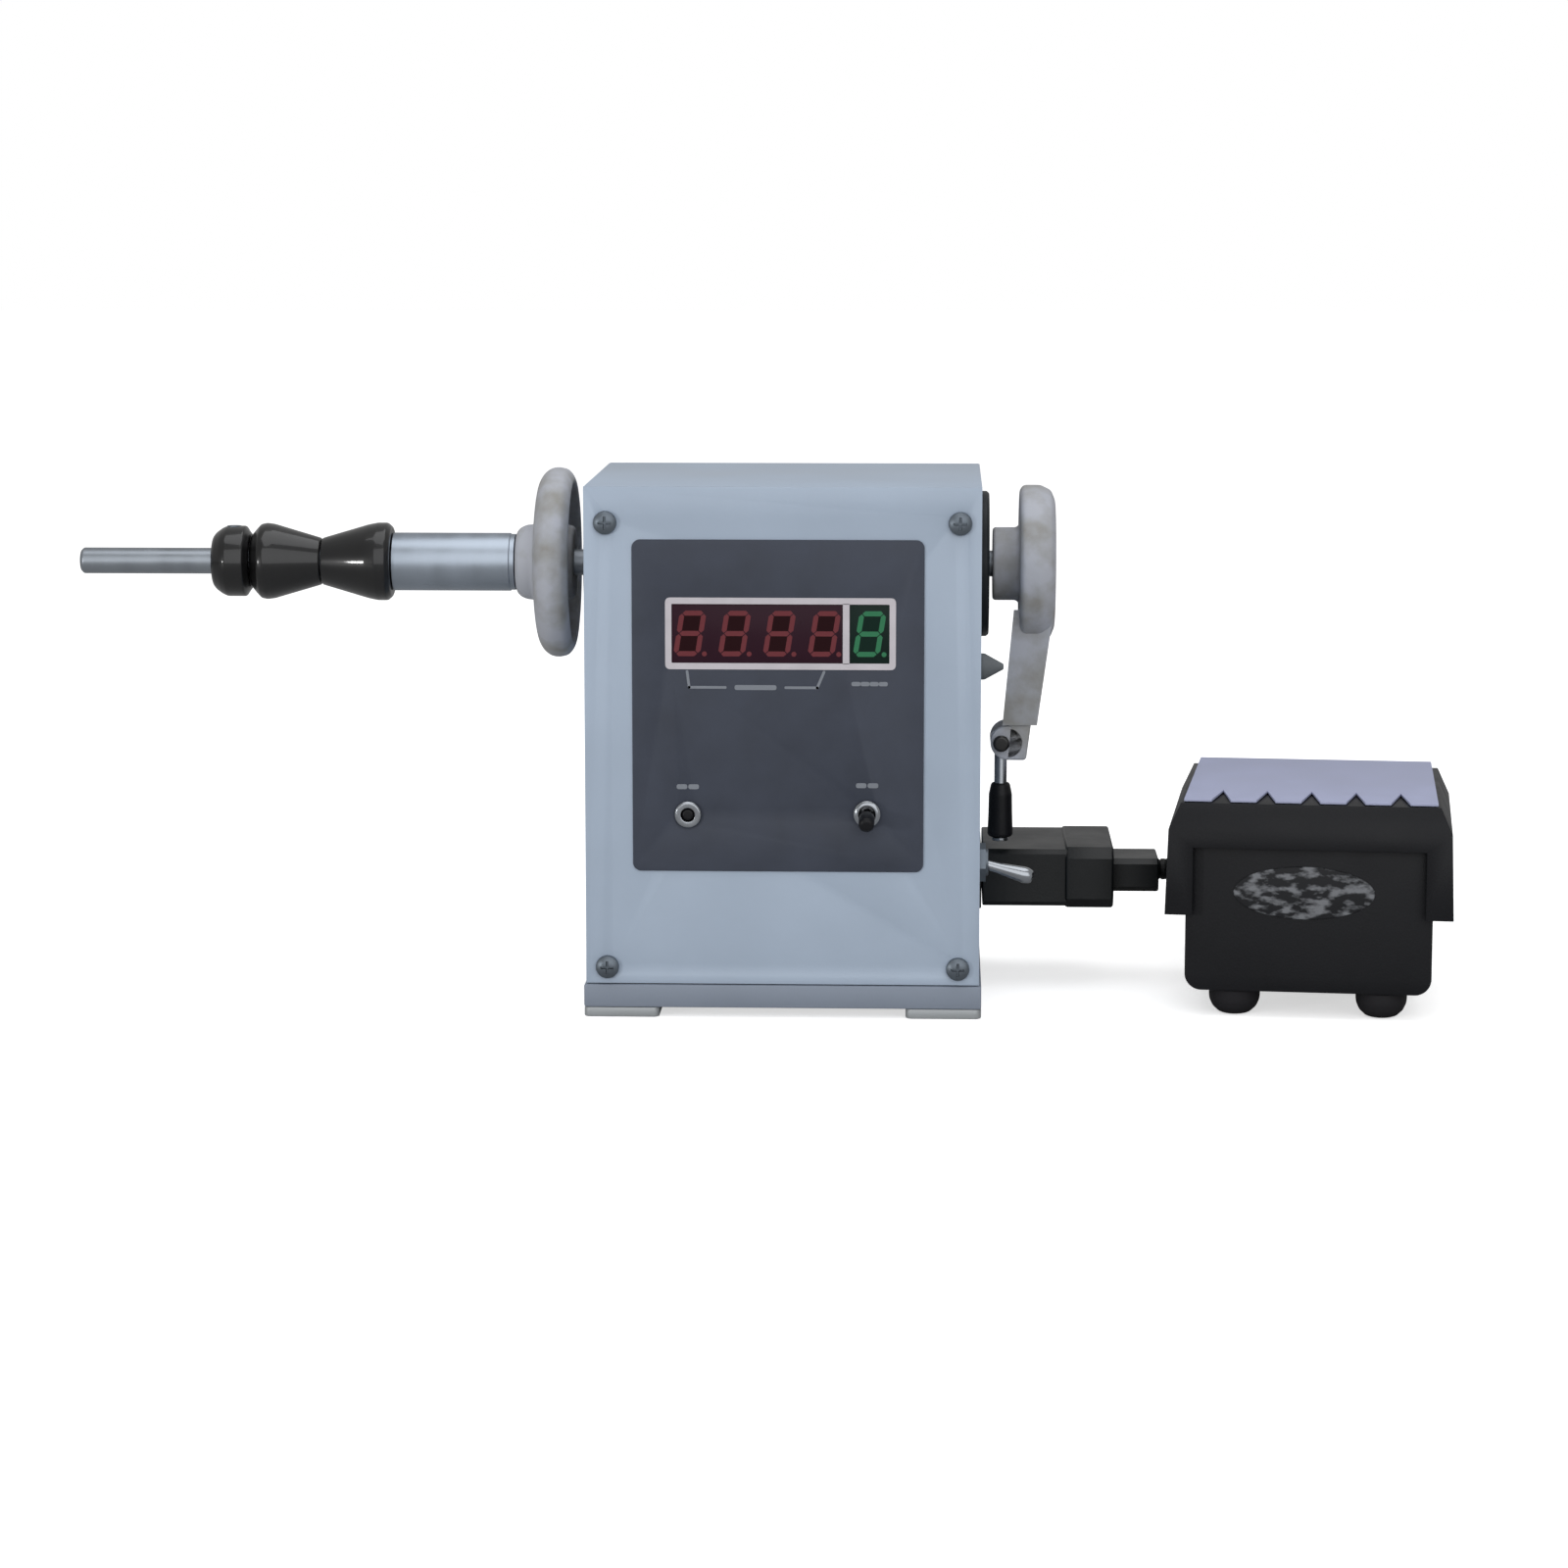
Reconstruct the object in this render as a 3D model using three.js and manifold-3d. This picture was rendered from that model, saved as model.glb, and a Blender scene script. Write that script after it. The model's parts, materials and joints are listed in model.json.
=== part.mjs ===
// Bench coil winder with an electronic turn counter, a hand crank with a fold-away grip and a foot
// speed pedal on a lead. Millimetres, +Z up. +X runs along the spindle towards the crank, and +Y is the
// rear. The origin is the bottom centre of the winder and its pedal, on the bench.
import * as THREE from "three";
import { mergeVertices } from "three/addons/utils/BufferGeometryUtils.js";
import Module from "manifold-3d";

const wasm = await Module();
wasm.setup();

// ---- driving dimensions ------------------------------------------------------------------------
const GAP = 0.3; // between pieces that are cut for each other
const FACETS = { large: 36, round: 28, small: 18, tiny: 12 }; // sides of a turned piece, by its size
const SHEET = 1.5; // steel sheet of the case
const MACHINE = { x: 5, y: 5 }; // centre of the case in the part's frame
const CASE = { width: 118, depth: 100, bottom: 10.3, top: 159.7 };
const BASE = { width: 119.4, depth: 101, bottom: 3, top: 10 };
const FOOT = { inner: 37, outer: 59.7, height: 3 };
const INLET = { left: -46, right: -14, bottom: 18, top: 44, flange: 2, deep: 14 };
const BUMPER = { y: -28, z: 104, radius: 4, reach: 7 };
const SCREW = { x: 52.6, low: 15.3, high: 149, headRadius: 3.5, shankRadius: 1.9 };

const OVERLAY = { left: -44.7, right: 42.1, bottom: 44.7, top: 144.1, corner: 2.5, thick: 0.5 };
const RED_WINDOW = { left: -32.9, right: 17.9, bottom: 107.4, top: 125 };
const GREEN_WINDOW = { left: 20, right: 31.8, bottom: 107.4, top: 125 };
const RESET = { x: -28.2, z: 61.8, ring: 4.1, bore: 2.1, button: 1.8 };
const MODE = { x: 25.3, z: 62.4, nut: 4.1, tilt: 10, length: 11.2 };
const POWER = { y: -42, z: 46.5, tilt: 15, length: 17.5 };
const LEVER_PIVOT = { modeY: -CASE.depth / 2 - 1, powerX: CASE.width / 2 - 0.8 };

const AXLE = { z: 132.5, radius: 4, left: -219.2, right: 80 }; // spindle line, in the case's middle plane
const RUNNING_BORE = AXLE.radius + GAP;
const FLANGE = { radius: 22.4, reach: 2.6 };
const WHEEL = { radius: 29.3, hub: 11.6, left: -83.8, front: -77.2, back: -65.8 };
const CONE = { large: 12, waist: 7.2, outerEnd: -165.9, middle: -144.2, innerEnd: -122.2 };
const TUBE = { radius: 8.95, left: -121.9, right: -84.1 };
const COLLAR = { left: -177.8, right: -166.2, radius: 10.9 };

const SPINDLE_PULLEY = { groove: 18, flange: 21.5, x: -25.5 };
const MOTOR_PULLEY = { groove: 6, flange: 9.5 };
const BELT = { width: 5, thick: 1.6 };
const MOTOR = { y: 14, z: 50, radius: 22, left: -18, right: 38 };

const HEAD = { left: 70.9, right: 81.9, radius: 24.2, hubLeft: 62.7, hubRadius: 11.2 };
const ARM = { topZ: 118, endZ: 70.8, topIn: 70.9, topOut: 79.4, endIn: 66.6, endOut: 73.6 };
const FORK = { slot: 4.6, slotTop: 83.4, earIn: 62.2, earTop: 85.1, earWidth: 8.6 };
const GRIP = { x: 65.7, z: 78, pin: 1.5, stem: 2, radius: 4, top: 64.5, bottom: 47.6, stemEnd: 46.4 };

const PLUG = { left: 60.3, step: 86, right: 101, front: -2, rear: 46, bottom: 25.2, top: 44.2 };
const BOOT = { right: 115.6, front: 11, rear: 33, bottom: 28.4, top: 38.8 };
const LEAD = { radius: 2.75, z: 33.9, y: 22, reliefRadius: 3.4, reliefBend: 8 };
const COIL = { x: 168, y: 91, mean: 30, halfWidth: 5.5, height: 16.5 };

const PEDAL = { x: 157, y: -50, yaw: -6 }; // middle of the pedal's front edge, from the case's centre
const TRAY = { half: 36.75, front: 3.4, rear: 80, bottom: 8.2, frontTop: 53.5, rearTop: 50, wall: 2.5 };
const LID = { bottomHalf: 43, bevelHalf: 42, topHalf: 38.3, length: 85, frontSkirt: 31.5, rearSkirt: 44,
  bevelZ: 57.4, topZ: 65, rearZ: 66.6, bevelRun: 4, wall: 2.8, apronZ: 52, mouthHalf: 37.3, lipHalf: 34.6,
  lip: 1.5 };
const TREAD = { half: 37.7, rearHalf: 36.2, thick: 1, front: 4.6, rear: 83, notch: 2.8, notchRun: 17,
  pitch: 13.3 };
const HINGE = { v: 76, z: 44, pin: 1.5 };
const PAD = { radius: 7.75, u: 22, front: 12, rear: 70, height: 8 };
const RELIEF = { u: 26, z: 18, length: 26 };
const SPRING = { u: 0, v: 30, radius: 6, wire: 0.8, turns: 7 };

// ---- finishes ----------------------------------------------------------------------------------
const finish = (color, roughness, metalness) =>
  new THREE.MeshStandardMaterial({ color, roughness, metalness });
const FINISH = {
  casePaint: finish(0xa9bccb, 0.4, 0.1),
  overlay: finish(0x565c66, 0.45, 0),
  redLens: finish(0x2a0a0d, 0.15, 0),
  greenLens: finish(0x0b2a20, 0.15, 0),
  blackPlastic: finish(0x1c1c1e, 0.5, 0),
  blackSteel: finish(0x17171a, 0.25, 0.6),
  steel: finish(0xb9bec4, 0.3, 0.9),
  castGrey: finish(0x8f9093, 0.6, 0.5),
  tread: finish(0xa9adc6, 0.6, 0),
  rubber: finish(0x242426, 0.8, 0),
  board: finish(0x1f5a3a, 0.6, 0),
  copper: finish(0xa8642f, 0.4, 0.6),
  cord: finish(0x141416, 0.6, 0),
};

// ---- small geometry tools ----------------------------------------------------------------------
const UNIT = [new THREE.Vector3(1, 0, 0), new THREE.Vector3(0, 1, 0), new THREE.Vector3(0, 0, 1)];
const AXIS_BASIS = {
  x: new THREE.Matrix4().makeBasis(UNIT[1], UNIT[2], UNIT[0]),
  y: new THREE.Matrix4().makeBasis(UNIT[2], UNIT[0], UNIT[1]),
  z: new THREE.Matrix4(),
};

// Joins shared corners, drops flat triangles and turns the surface so that it faces out.
function tidy(geometry) {
  geometry.deleteAttribute("normal");
  geometry.deleteAttribute("uv");
  const merged = mergeVertices(geometry, 1e-4);
  const at = merged.getAttribute("position");
  const corners = Array.from(merged.index.array);
  const kept = [];
  let volume = 0;
  const a = new THREE.Vector3();
  const b = new THREE.Vector3();
  const c = new THREE.Vector3();
  for (let i = 0; i < corners.length; i += 3) {
    const [p, q, r] = corners.slice(i, i + 3);
    if (p === q || q === r || r === p) continue;
    const across = b.fromBufferAttribute(at, q).cross(c.fromBufferAttribute(at, r));
    volume += a.fromBufferAttribute(at, p).dot(across);
    kept.push(p, q, r);
  }
  if (volume < 0) {
    for (let i = 0; i < kept.length; i += 3) [kept[i], kept[i + 1]] = [kept[i + 1], kept[i]];
  }
  merged.setIndex(kept);
  return merged;
}

function toSolid(geometry) {
  const clean = tidy(geometry);
  return new wasm.Manifold(new wasm.Mesh({
    numProp: 3,
    vertProperties: new Float32Array(clean.getAttribute("position").array),
    triVerts: new Uint32Array(clean.index.array),
  }));
}

function toGeometry(manifold) {
  const mesh = manifold.getMesh();
  const geometry = new THREE.BufferGeometry();
  geometry.setAttribute("position", new THREE.BufferAttribute(new Float32Array(mesh.vertProperties), 3));
  geometry.setIndex(Array.from(mesh.triVerts));
  return geometry;
}

const join = (first, ...rest) => toGeometry(rest.reduce((sum, g) => sum.add(toSolid(g)), toSolid(first)));
const cut = (first, ...rest) => toGeometry(rest.reduce((sum, g) => sum.subtract(toSolid(g)), toSolid(first)));
const common = (first, second) => toGeometry(toSolid(first).intersect(toSolid(second)));

function block([x0, x1], [y0, y1], [z0, z1]) {
  const body = new THREE.BoxGeometry(x1 - x0, y1 - y0, z1 - z0);
  return body.translate((x0 + x1) / 2, (y0 + y1) / 2, (z0 + z1) / 2);
}

// A turned solid about an axis line. The profile is [along, radius] from end to end, closed on the axis.
function turned(axis, profile, segments = FACETS.round) {
  const [first] = profile[0];
  const [last] = profile[profile.length - 1];
  const outline = [[first, 0], ...profile, [last, 0]];
  const points = outline.map(([along, radius]) => new THREE.Vector2(radius, along));
  return onAxis(new THREE.LatheGeometry(points, segments).rotateX(Math.PI / 2), axis);
}

// A turned ring: the profile closes on itself, away from the axis.
function ring(axis, profile, segments = FACETS.round) {
  const points = [...profile, profile[0]].map(([along, radius]) => new THREE.Vector2(radius, along));
  return onAxis(new THREE.LatheGeometry(points, segments).rotateX(Math.PI / 2), axis);
}

const onAxis = (geometry, axis) => tidy(geometry).applyMatrix4(AXIS_BASIS[axis]);

const rod = (axis, radius, from, to, segments = FACETS.small) =>
  turned(axis, [[from, radius], [to, radius]], segments);

// An outline in the plane across an axis, pulled along it: x takes (y, z), y takes (z, x), z takes (x, y).
function pulled(axis, shape, from, to, curveSegments = 8) {
  const body = new THREE.ExtrudeGeometry(shape, { depth: to - from, bevelEnabled: false, curveSegments });
  return body.translate(0, 0, from).applyMatrix4(AXIS_BASIS[axis]);
}

const polygon = (points) => new THREE.Shape(points.map(([u, v]) => new THREE.Vector2(u, v)));

function roundedRectangle(u0, u1, v0, v1, radius) {
  const shape = new THREE.Shape();
  shape.absarc(u1 - radius, v1 - radius, radius, 0, Math.PI / 2);
  shape.absarc(u0 + radius, v1 - radius, radius, Math.PI / 2, Math.PI);
  shape.absarc(u0 + radius, v0 + radius, radius, Math.PI, 1.5 * Math.PI);
  shape.absarc(u1 - radius, v0 + radius, radius, 1.5 * Math.PI, 2 * Math.PI);
  return shape;
}

function chamferedRectangle(u0, u1, v0, v1, edge) {
  return polygon([[u0 + edge, v0], [u1 - edge, v0], [u1, v0 + edge], [u1, v1 - edge],
    [u1 - edge, v1], [u0 + edge, v1], [u0, v1 - edge], [u0, v0 + edge]]);
}

// A plate in the plane of the front panel, from its outline in (x, z).
function facePlate(left, right, bottom, top, corner, front, back) {
  return pulled("y", roundedRectangle(bottom, top, left, right, corner), front, back);
}

// A tube along a smooth line through points.
function tubeAlong(points, radius, sides, steps) {
  const curve = new THREE.CatmullRomCurve3(points.map((p) => new THREE.Vector3(...p)), false, "centripetal");
  const section = polygon(Array.from({ length: sides }, (_, i) => {
    const turn = (2 * Math.PI * i) / sides;
    return [radius * Math.cos(turn), radius * Math.sin(turn)];
  }));
  return new THREE.ExtrudeGeometry(section, { steps, extrudePath: curve, bevelEnabled: false });
}

function add(parent, name, geometry, material) {
  const mesh = new THREE.Mesh(tidy(geometry), material);
  mesh.name = name;
  parent.add(mesh);
  return mesh;
}

// ---- case --------------------------------------------------------------------------------------
const HALF = { x: CASE.width / 2, y: CASE.depth / 2 };
const FRONT = -HALF.y; // outer face of the front panel
const SIDE = HALF.x; // outer face of the right-hand wall

function caseBase() {
  const [x, y] = [BASE.width / 2, BASE.depth / 2];
  const pocket = block([-x + 2, x - 2], [-y + 2, y - 2], [BASE.bottom + 2, BASE.top + 1]);
  return cut(block([-x, x], [-y, y], [BASE.bottom, BASE.top]), pocket);
}

function foot(side) {
  const span = [FOOT.inner * side, FOOT.outer * side].sort((a, b) => a - b);
  return pulled("z", roundedRectangle(...span, -BASE.depth / 2, BASE.depth / 2, 2), 0, FOOT.height);
}

// One folded sheet: two sides and the top, with lips turned in at the front and rear edges.
function caseShell() {
  const [inner, roof] = [SIDE - SHEET, CASE.top - SHEET];
  const [near, far] = [FRONT + SHEET, HALF.y - SHEET];
  const wrap = cut(
    block([-SIDE, SIDE], [near, far], [CASE.bottom, CASE.top]),
    block([-inner, inner], [near - 1, far + 1], [CASE.bottom - 1, roof]),
  );
  const lips = [];
  for (const side of [-1, 1]) {
    for (const [from, to] of [[near, near + SHEET], [far - SHEET, far]]) {
      const span = [side * (SIDE - 12), side * (SIDE - 1)].sort((a, b) => a - b);
      lips.push(block(span, [from, to], [CASE.bottom + 1, CASE.top - 1]));
    }
  }
  const holeRadius = SCREW.shankRadius + GAP;
  const screwHoles = screwPlaces().map(([x, z]) =>
    rod("y", holeRadius, near - 1, near + 3, FACETS.tiny).translate(x, 0, z));
  const bearingHoles = rod("x", 14.3, -SIDE - 2, SIDE + 2).translate(0, 0, AXLE.z);
  const powerHole = rod("x", 4.3, SIDE - 3, SIDE + 2).translate(0, POWER.y, POWER.z);
  const socketHole = block([SIDE - 3, SIDE + 1], [3.6, 40.4], [26.6, 40.4]);
  const stud = rod("x", 1.8, SIDE - 3, SIDE + 1, FACETS.tiny).translate(0, BUMPER.y, BUMPER.z);
  return cut(join(wrap, ...lips), ...screwHoles, bearingHoles, powerHole, socketHole, stud);
}

const screwPlaces = () => [-1, 1].flatMap((side) => [SCREW.low, SCREW.high].map((z) => [side * SCREW.x, z]));

function frontPanel() {
  const plate = block([-SIDE, SIDE], [FRONT, FRONT + SHEET], [CASE.bottom, CASE.top]);
  const display = block([RED_WINDOW.left - 0.5, GREEN_WINDOW.right + 0.5], [FRONT - 1, FRONT + 3],
    [RED_WINDOW.bottom - 0.5, RED_WINDOW.top + 0.5]);
  const round = (radius, x, z) => rod("y", radius, FRONT - 1, FRONT + 3, FACETS.tiny).translate(x, 0, z);
  return cut(plate, display, round(3.4, RESET.x, RESET.z), round(3.4, MODE.x, MODE.z),
    ...screwPlaces().map(([x, z]) => round(SCREW.shankRadius + GAP, x, z)));
}

function panelOverlay() {
  const { left, right, bottom, top, corner, thick } = OVERLAY;
  const sheet = facePlate(left, right, bottom, top, corner, FRONT - thick, FRONT);
  const opening = (w) => block([w.left, w.right], [FRONT - 2, FRONT + 1], [w.bottom, w.top]);
  const round = (x, z) => rod("y", 3.4, FRONT - 2, FRONT + 1, FACETS.tiny).translate(x, 0, z);
  const holes = [round(RESET.x, RESET.z), round(MODE.x, MODE.z)];
  return cut(sheet, opening(RED_WINDOW), opening(GREEN_WINDOW), ...holes);
}

const windowPane = (w) => block([w.left + GAP, w.right - GAP], [FRONT - 0.4, FRONT + 1.2],
  [w.bottom + GAP, w.top - GAP]);

const digitBlock = (w) => block([w.left + 0.6, w.right - 0.6], [FRONT + 1.5, FRONT + 9.5],
  [w.bottom + 0.6, w.top - 0.6]);

const displayBoard = () => block([-40, 40], [FRONT + 9.8, FRONT + 11.4], [100, 130]);

function rearPanel() {
  const plate = block([-SIDE, SIDE], [HALF.y - SHEET, HALF.y], [CASE.bottom, CASE.top]);
  return cut(plate, block([INLET.left + 1.7, INLET.right - 1.7], [HALF.y - 3, HALF.y + 1],
    [INLET.bottom + 1.7, INLET.top - 1.7]));
}

// Mains inlet: a flanged box with an open shroud for the lead's connector.
function mainsInlet() {
  const flange = block([INLET.left, INLET.right], [HALF.y, HALF.y + INLET.flange], [INLET.bottom, INLET.top]);
  const box = block([INLET.left + 2, INLET.right - 2], [HALF.y - INLET.deep - 2, HALF.y + 1],
    [INLET.bottom + 2, INLET.top - 2]);
  const shroud = block([INLET.left + 5, INLET.right - 5], [HALF.y - INLET.deep, HALF.y + 3],
    [INLET.bottom + 4, INLET.top - 4]);
  return cut(join(flange, box), shroud);
}

// Pan-head screw with a cross slot, driven into the case lip from the front.
function frontScrew(x, z) {
  const [head, high] = [FRONT - 2.2, SCREW.headRadius];
  const body = turned("y", [[head, high - 1.6], [head + 0.5, high - 0.5], [head + 1.3, high], [FRONT, high],
    [FRONT, SCREW.shankRadius], [FRONT + 7, SCREW.shankRadius]], FACETS.small);
  const slot = (w, h) => block([-w, w], [head - 1, head + 0.9], [-h, h]);
  return cut(body, slot(2, 0.35), slot(0.35, 2)).translate(x, 0, z);
}

// ---- controls ----------------------------------------------------------------------------------
function resetSwitchBody() {
  const proud = FRONT - OVERLAY.thick;
  const body = turned("y", [[proud - 1.2, RESET.ring - 0.5], [proud - 0.8, RESET.ring], [proud, RESET.ring],
    [proud, 3], [FRONT + 6, 3], [FRONT + 6, 5], [FRONT + 14, 5]], FACETS.small);
  return cut(body, rod("y", RESET.bore, proud - 3, FRONT + 8, FACETS.small)).translate(RESET.x, 0, RESET.z);
}

function resetButton() {
  const front = FRONT - OVERLAY.thick - 0.7;
  const body = turned("y", [[front, RESET.button - 0.3], [front + 0.3, RESET.button],
    [front + 7, RESET.button]], FACETS.small);
  return body.translate(RESET.x, 0, RESET.z);
}

function modeSwitchBody() {
  const proud = FRONT - OVERLAY.thick;
  const neck = turned("y", [[proud - 2.4, MODE.nut - 0.7], [proud - 2, MODE.nut], [proud, MODE.nut],
    [proud, 3],
    [FRONT + 4, 3]], FACETS.small);
  const box = block([-6, 6], [FRONT + 3.5, FRONT + 13], [-4.5, 4.5]);
  return cut(join(neck, box), rod("y", 2.3, proud - 4, FRONT + 3, FACETS.small)).translate(MODE.x, 0, MODE.z);
}

// The lever stands out of the panel and hangs a little below level. It turns on its ball.
function modeLever() {
  const { length } = MODE;
  const lever = turned("y", [[-length, 1.5], [-length + 0.8, 2.4], [-4.2, 2.4], [-3.8, 1.2],
    [1.2, 1.2]], FACETS.small);
  return lever.rotateX(THREE.MathUtils.degToRad(MODE.tilt)).translate(MODE.x, LEVER_PIVOT.modeY, MODE.z);
}

function powerSwitchBody() {
  const neck = turned("x", [[SIDE - 4, 4], [SIDE, 4], [SIDE, 6], [SIDE + 1.8, 6], [SIDE + 1.8, 4],
    [SIDE + 2.6, 4]], FACETS.small);
  const box = block([SIDE - 17, SIDE - 3], [-4.7, 4.7], [-7, 7]);
  const bore = rod("x", 2.9, SIDE - 2.6, SIDE + 5, FACETS.small);
  return cut(join(neck, box), bore).translate(0, POWER.y, POWER.z);
}

// Bat lever: it widens to its tip.
function powerLever() {
  const bat = turned("x", [[-1, 1.4], [1, 1.4], [6, 1.5], [POWER.length - 2, 2.6],
    [POWER.length, 1.6]], FACETS.small);
  return bat.rotateY(THREE.MathUtils.degToRad(POWER.tilt)).translate(LEVER_PIVOT.powerX, POWER.y, POWER.z);
}

function sideBumper() {
  const body = turned("x", [[SIDE - 2.5, 1.5], [SIDE, 1.5], [SIDE, BUMPER.radius],
    [SIDE + 1.2, BUMPER.radius], [SIDE + BUMPER.reach, 0.6]], FACETS.small);
  return body.translate(0, BUMPER.y, BUMPER.z);
}

// ---- drive inside the case ---------------------------------------------------------------------
const onAxle = (geometry) => geometry.translate(0, 0, AXLE.z);

// A flanged bearing housing that fills a hole in the side wall.
function bearing(side) {
  const profile = [[SIDE - 9, RUNNING_BORE], [SIDE - 9, 14], [SIDE, 14], [SIDE, FLANGE.radius],
    [SIDE + FLANGE.reach - 0.8, FLANGE.radius], [SIDE + FLANGE.reach, FLANGE.radius - 0.8],
    [SIDE + FLANGE.reach, RUNNING_BORE]];
  return onAxle(ring("x", profile.map(([along, radius]) => [side * along, radius]), FACETS.round));
}

function pulley(middle, { groove, flange }, bore) {
  const half = BELT.width / 2 + 0.6;
  return ring("x", [[middle - half - 2, bore], [middle - half - 2, flange], [middle - half, flange],
    [middle - half, groove], [middle + half, groove], [middle + half, flange], [middle + half + 2, flange],
    [middle + half + 2, bore]], FACETS.round);
}

function motorShaft() {
  const half = BELT.width / 2 + 0.6;
  const middle = SPINDLE_PULLEY.x;
  const { groove, flange } = MOTOR_PULLEY;
  return turned("x", [[middle - half - 3, 2.5], [middle - half - 2, flange], [middle - half, flange],
    [middle - half, groove], [middle + half, groove], [middle + half, flange], [middle + half + 1.5, flange],
    [middle + half + 1.5, 2.5], [MOTOR.left + 4, 2.5]], FACETS.small).translate(0, MOTOR.y, MOTOR.z);
}

// Straight runs and wraps of an open belt around both pulleys, at a distance from their grooves.
function beltOutline(offset) {
  const [upper, lower] = [SPINDLE_PULLEY.groove + offset, MOTOR_PULLEY.groove + offset];
  const run = new THREE.Vector2(MOTOR.y, MOTOR.z - AXLE.z);
  const heading = run.angle();
  const lean = Math.acos((upper - lower) / run.length());
  const path = new THREE.Shape();
  path.absarc(0, AXLE.z, upper, heading + lean, heading - lean + 2 * Math.PI);
  path.absarc(MOTOR.y, MOTOR.z, lower, heading - lean, heading + lean);
  return path;
}

function driveBelt() {
  const loop = beltOutline(GAP + BELT.thick);
  loop.holes.push(new THREE.Path(beltOutline(GAP).getPoints(12)));
  return pulled("x", loop, SPINDLE_PULLEY.x - BELT.width / 2, SPINDLE_PULLEY.x + BELT.width / 2, 12);
}

function motorCan() {
  const { left, right, radius } = MOTOR;
  const can = turned("x", [[left, 8], [left + 3, 8], [left + 3, radius - 1], [left + 4, radius],
    [right - 1, radius], [right, radius - 1]], FACETS.round);
  return cut(can, rod("x", 2.9, left - 1, left + 6, FACETS.tiny)).translate(0, MOTOR.y, MOTOR.z);
}

// Angle bracket that carries the motor by its nose.
function motorBracket() {
  const [back, floor] = [MOTOR.left + 3 - GAP, BASE.bottom + 2];
  const plate = block([back - 2.2, back], [MOTOR.y - 20, MOTOR.y + 20], [floor, MOTOR.z + 24]);
  const sole = block([back - 2.2, back + 14], [MOTOR.y - 20, MOTOR.y + 20], [floor, floor + 2.2]);
  const noseHole = rod("x", 8.4, back - 4, back + 2, FACETS.small).translate(0, MOTOR.y, MOTOR.z);
  return cut(join(plate, sole), noseHole);
}

function transformer() {
  const core = block([-50, -12], [-40, -14], [BASE.bottom + 2, 38]);
  const winding = block([-44, -18], [-44, -10], [BASE.bottom + 8, 32]);
  return join(core, winding);
}

function controlBoard() {
  const sheet = block([-54, -52.4], [-38, 36], [20, 100]);
  const capacitor = rod("x", 6, -53, -38, FACETS.tiny).translate(0, -22, 66);
  const relay = block([-53, -40], [0, 16], [72, 92]);
  const terminals = block([-53, -42], [22, 32], [26, 60]);
  return join(sheet, capacitor, relay, terminals);
}

// Slotted disc on the spindle, read by a light gate to count the turns.
function countDisc() {
  const slots = 12;
  const outline = new THREE.Shape().absarc(0, 0, 20, 0, 2 * Math.PI);
  for (let i = 0; i < slots; i++) {
    const turn = (2 * Math.PI * i) / slots;
    const corners = [[14, -1.5], [18, -1.5], [18, 1.5], [14, 1.5]];
    outline.holes.push(new THREE.Path(corners.map(([r, t]) => new THREE.Vector2(r, t)
      .rotateAround(new THREE.Vector2(), turn))));
  }
  const disc = cut(pulled("x", outline, 14, 15.2, FACETS.tiny), rod("x", RUNNING_BORE, 10, FACETS.small));
  const hub = ring("x", [[9, RUNNING_BORE], [9, 9], [14.2, 9], [14.2, RUNNING_BORE]], FACETS.small);
  return onAxle(join(disc, hub));
}

function countSensor() {
  const gate = block([8.6, 20.6], [-27, -15], [-5.5, 5.5]);
  const arm = block([11.6, 17.6], [FRONT + 11.7, -26], [-3.5, 3.5]);
  return onAxle(cut(join(gate, arm), block([12.6, 16.6], [-22.5, -14], [-7, 7])));
}

// ---- spindle -----------------------------------------------------------------------------------
const spindleShaft = () => onAxle(turned("x", [[AXLE.left, AXLE.radius - 1], [AXLE.left + 1, AXLE.radius],
  [AXLE.right - 1, AXLE.radius], [AXLE.right, AXLE.radius - 1]], FACETS.round));

// Cast hand wheel: a flared hub runs into a thick rim, and the back is a deep open dish.
function handWheel() {
  const { radius, hub, left, front, back } = WHEEL;
  const profile = [[left, RUNNING_BORE], [left, hub - 2.4], [left + 1.2, hub - 1], [left + 3.2, hub],
    [left + 5.2, hub], [front - 0.4, hub + 1], [front, hub + 2.4], [front + 0.2, 22], [front + 0.8, 25],
    [front + 2.2, 27.4], [front + 4.2, 28.9], [front + 6.4, radius], [back - 2.1, 28.7], [back - 0.7, 27.1],
    [back, 25.4], [back - 0.4, 24.3], [back - 3.5, 22.8], [back - 7, 20.5], [back - 7.6, 13],
    [back, hub - 0.6], [back, RUNNING_BORE]];
  return onAxle(ring("x", profile, FACETS.large));
}

const sleeveTube = () => onAxle(ring("x", [[TUBE.left, RUNNING_BORE], [TUBE.left, TUBE.radius],
  [TUBE.right, TUBE.radius], [TUBE.right, RUNNING_BORE]], FACETS.round));

// Both cones centre a bobbin between them: the small ends meet, the large ends are rounded.
function innerCone() {
  const { large, waist, middle, innerEnd } = CONE;
  return onAxle(ring("x", [[middle + 0.15, RUNNING_BORE], [middle + 0.15, waist],
    [innerEnd - 7.6, large - 0.6], [innerEnd - 4.6, large], [innerEnd - 1.6, large],
    [innerEnd - 0.2, large - 1.2], [innerEnd, large - 2.4], [innerEnd, RUNNING_BORE]], FACETS.round));
}

function outerCone() {
  const { large, waist, middle, outerEnd } = CONE;
  return onAxle(ring("x", [[outerEnd, RUNNING_BORE], [outerEnd, large - 4], [outerEnd + 1.3, large - 2.4],
    [outerEnd + 3, large - 0.5], [outerEnd + 4.7, large - 0.2], [outerEnd + 7, large - 0.5],
    [middle - 0.15, waist], [middle - 0.15, RUNNING_BORE]], FACETS.round));
}

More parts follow.
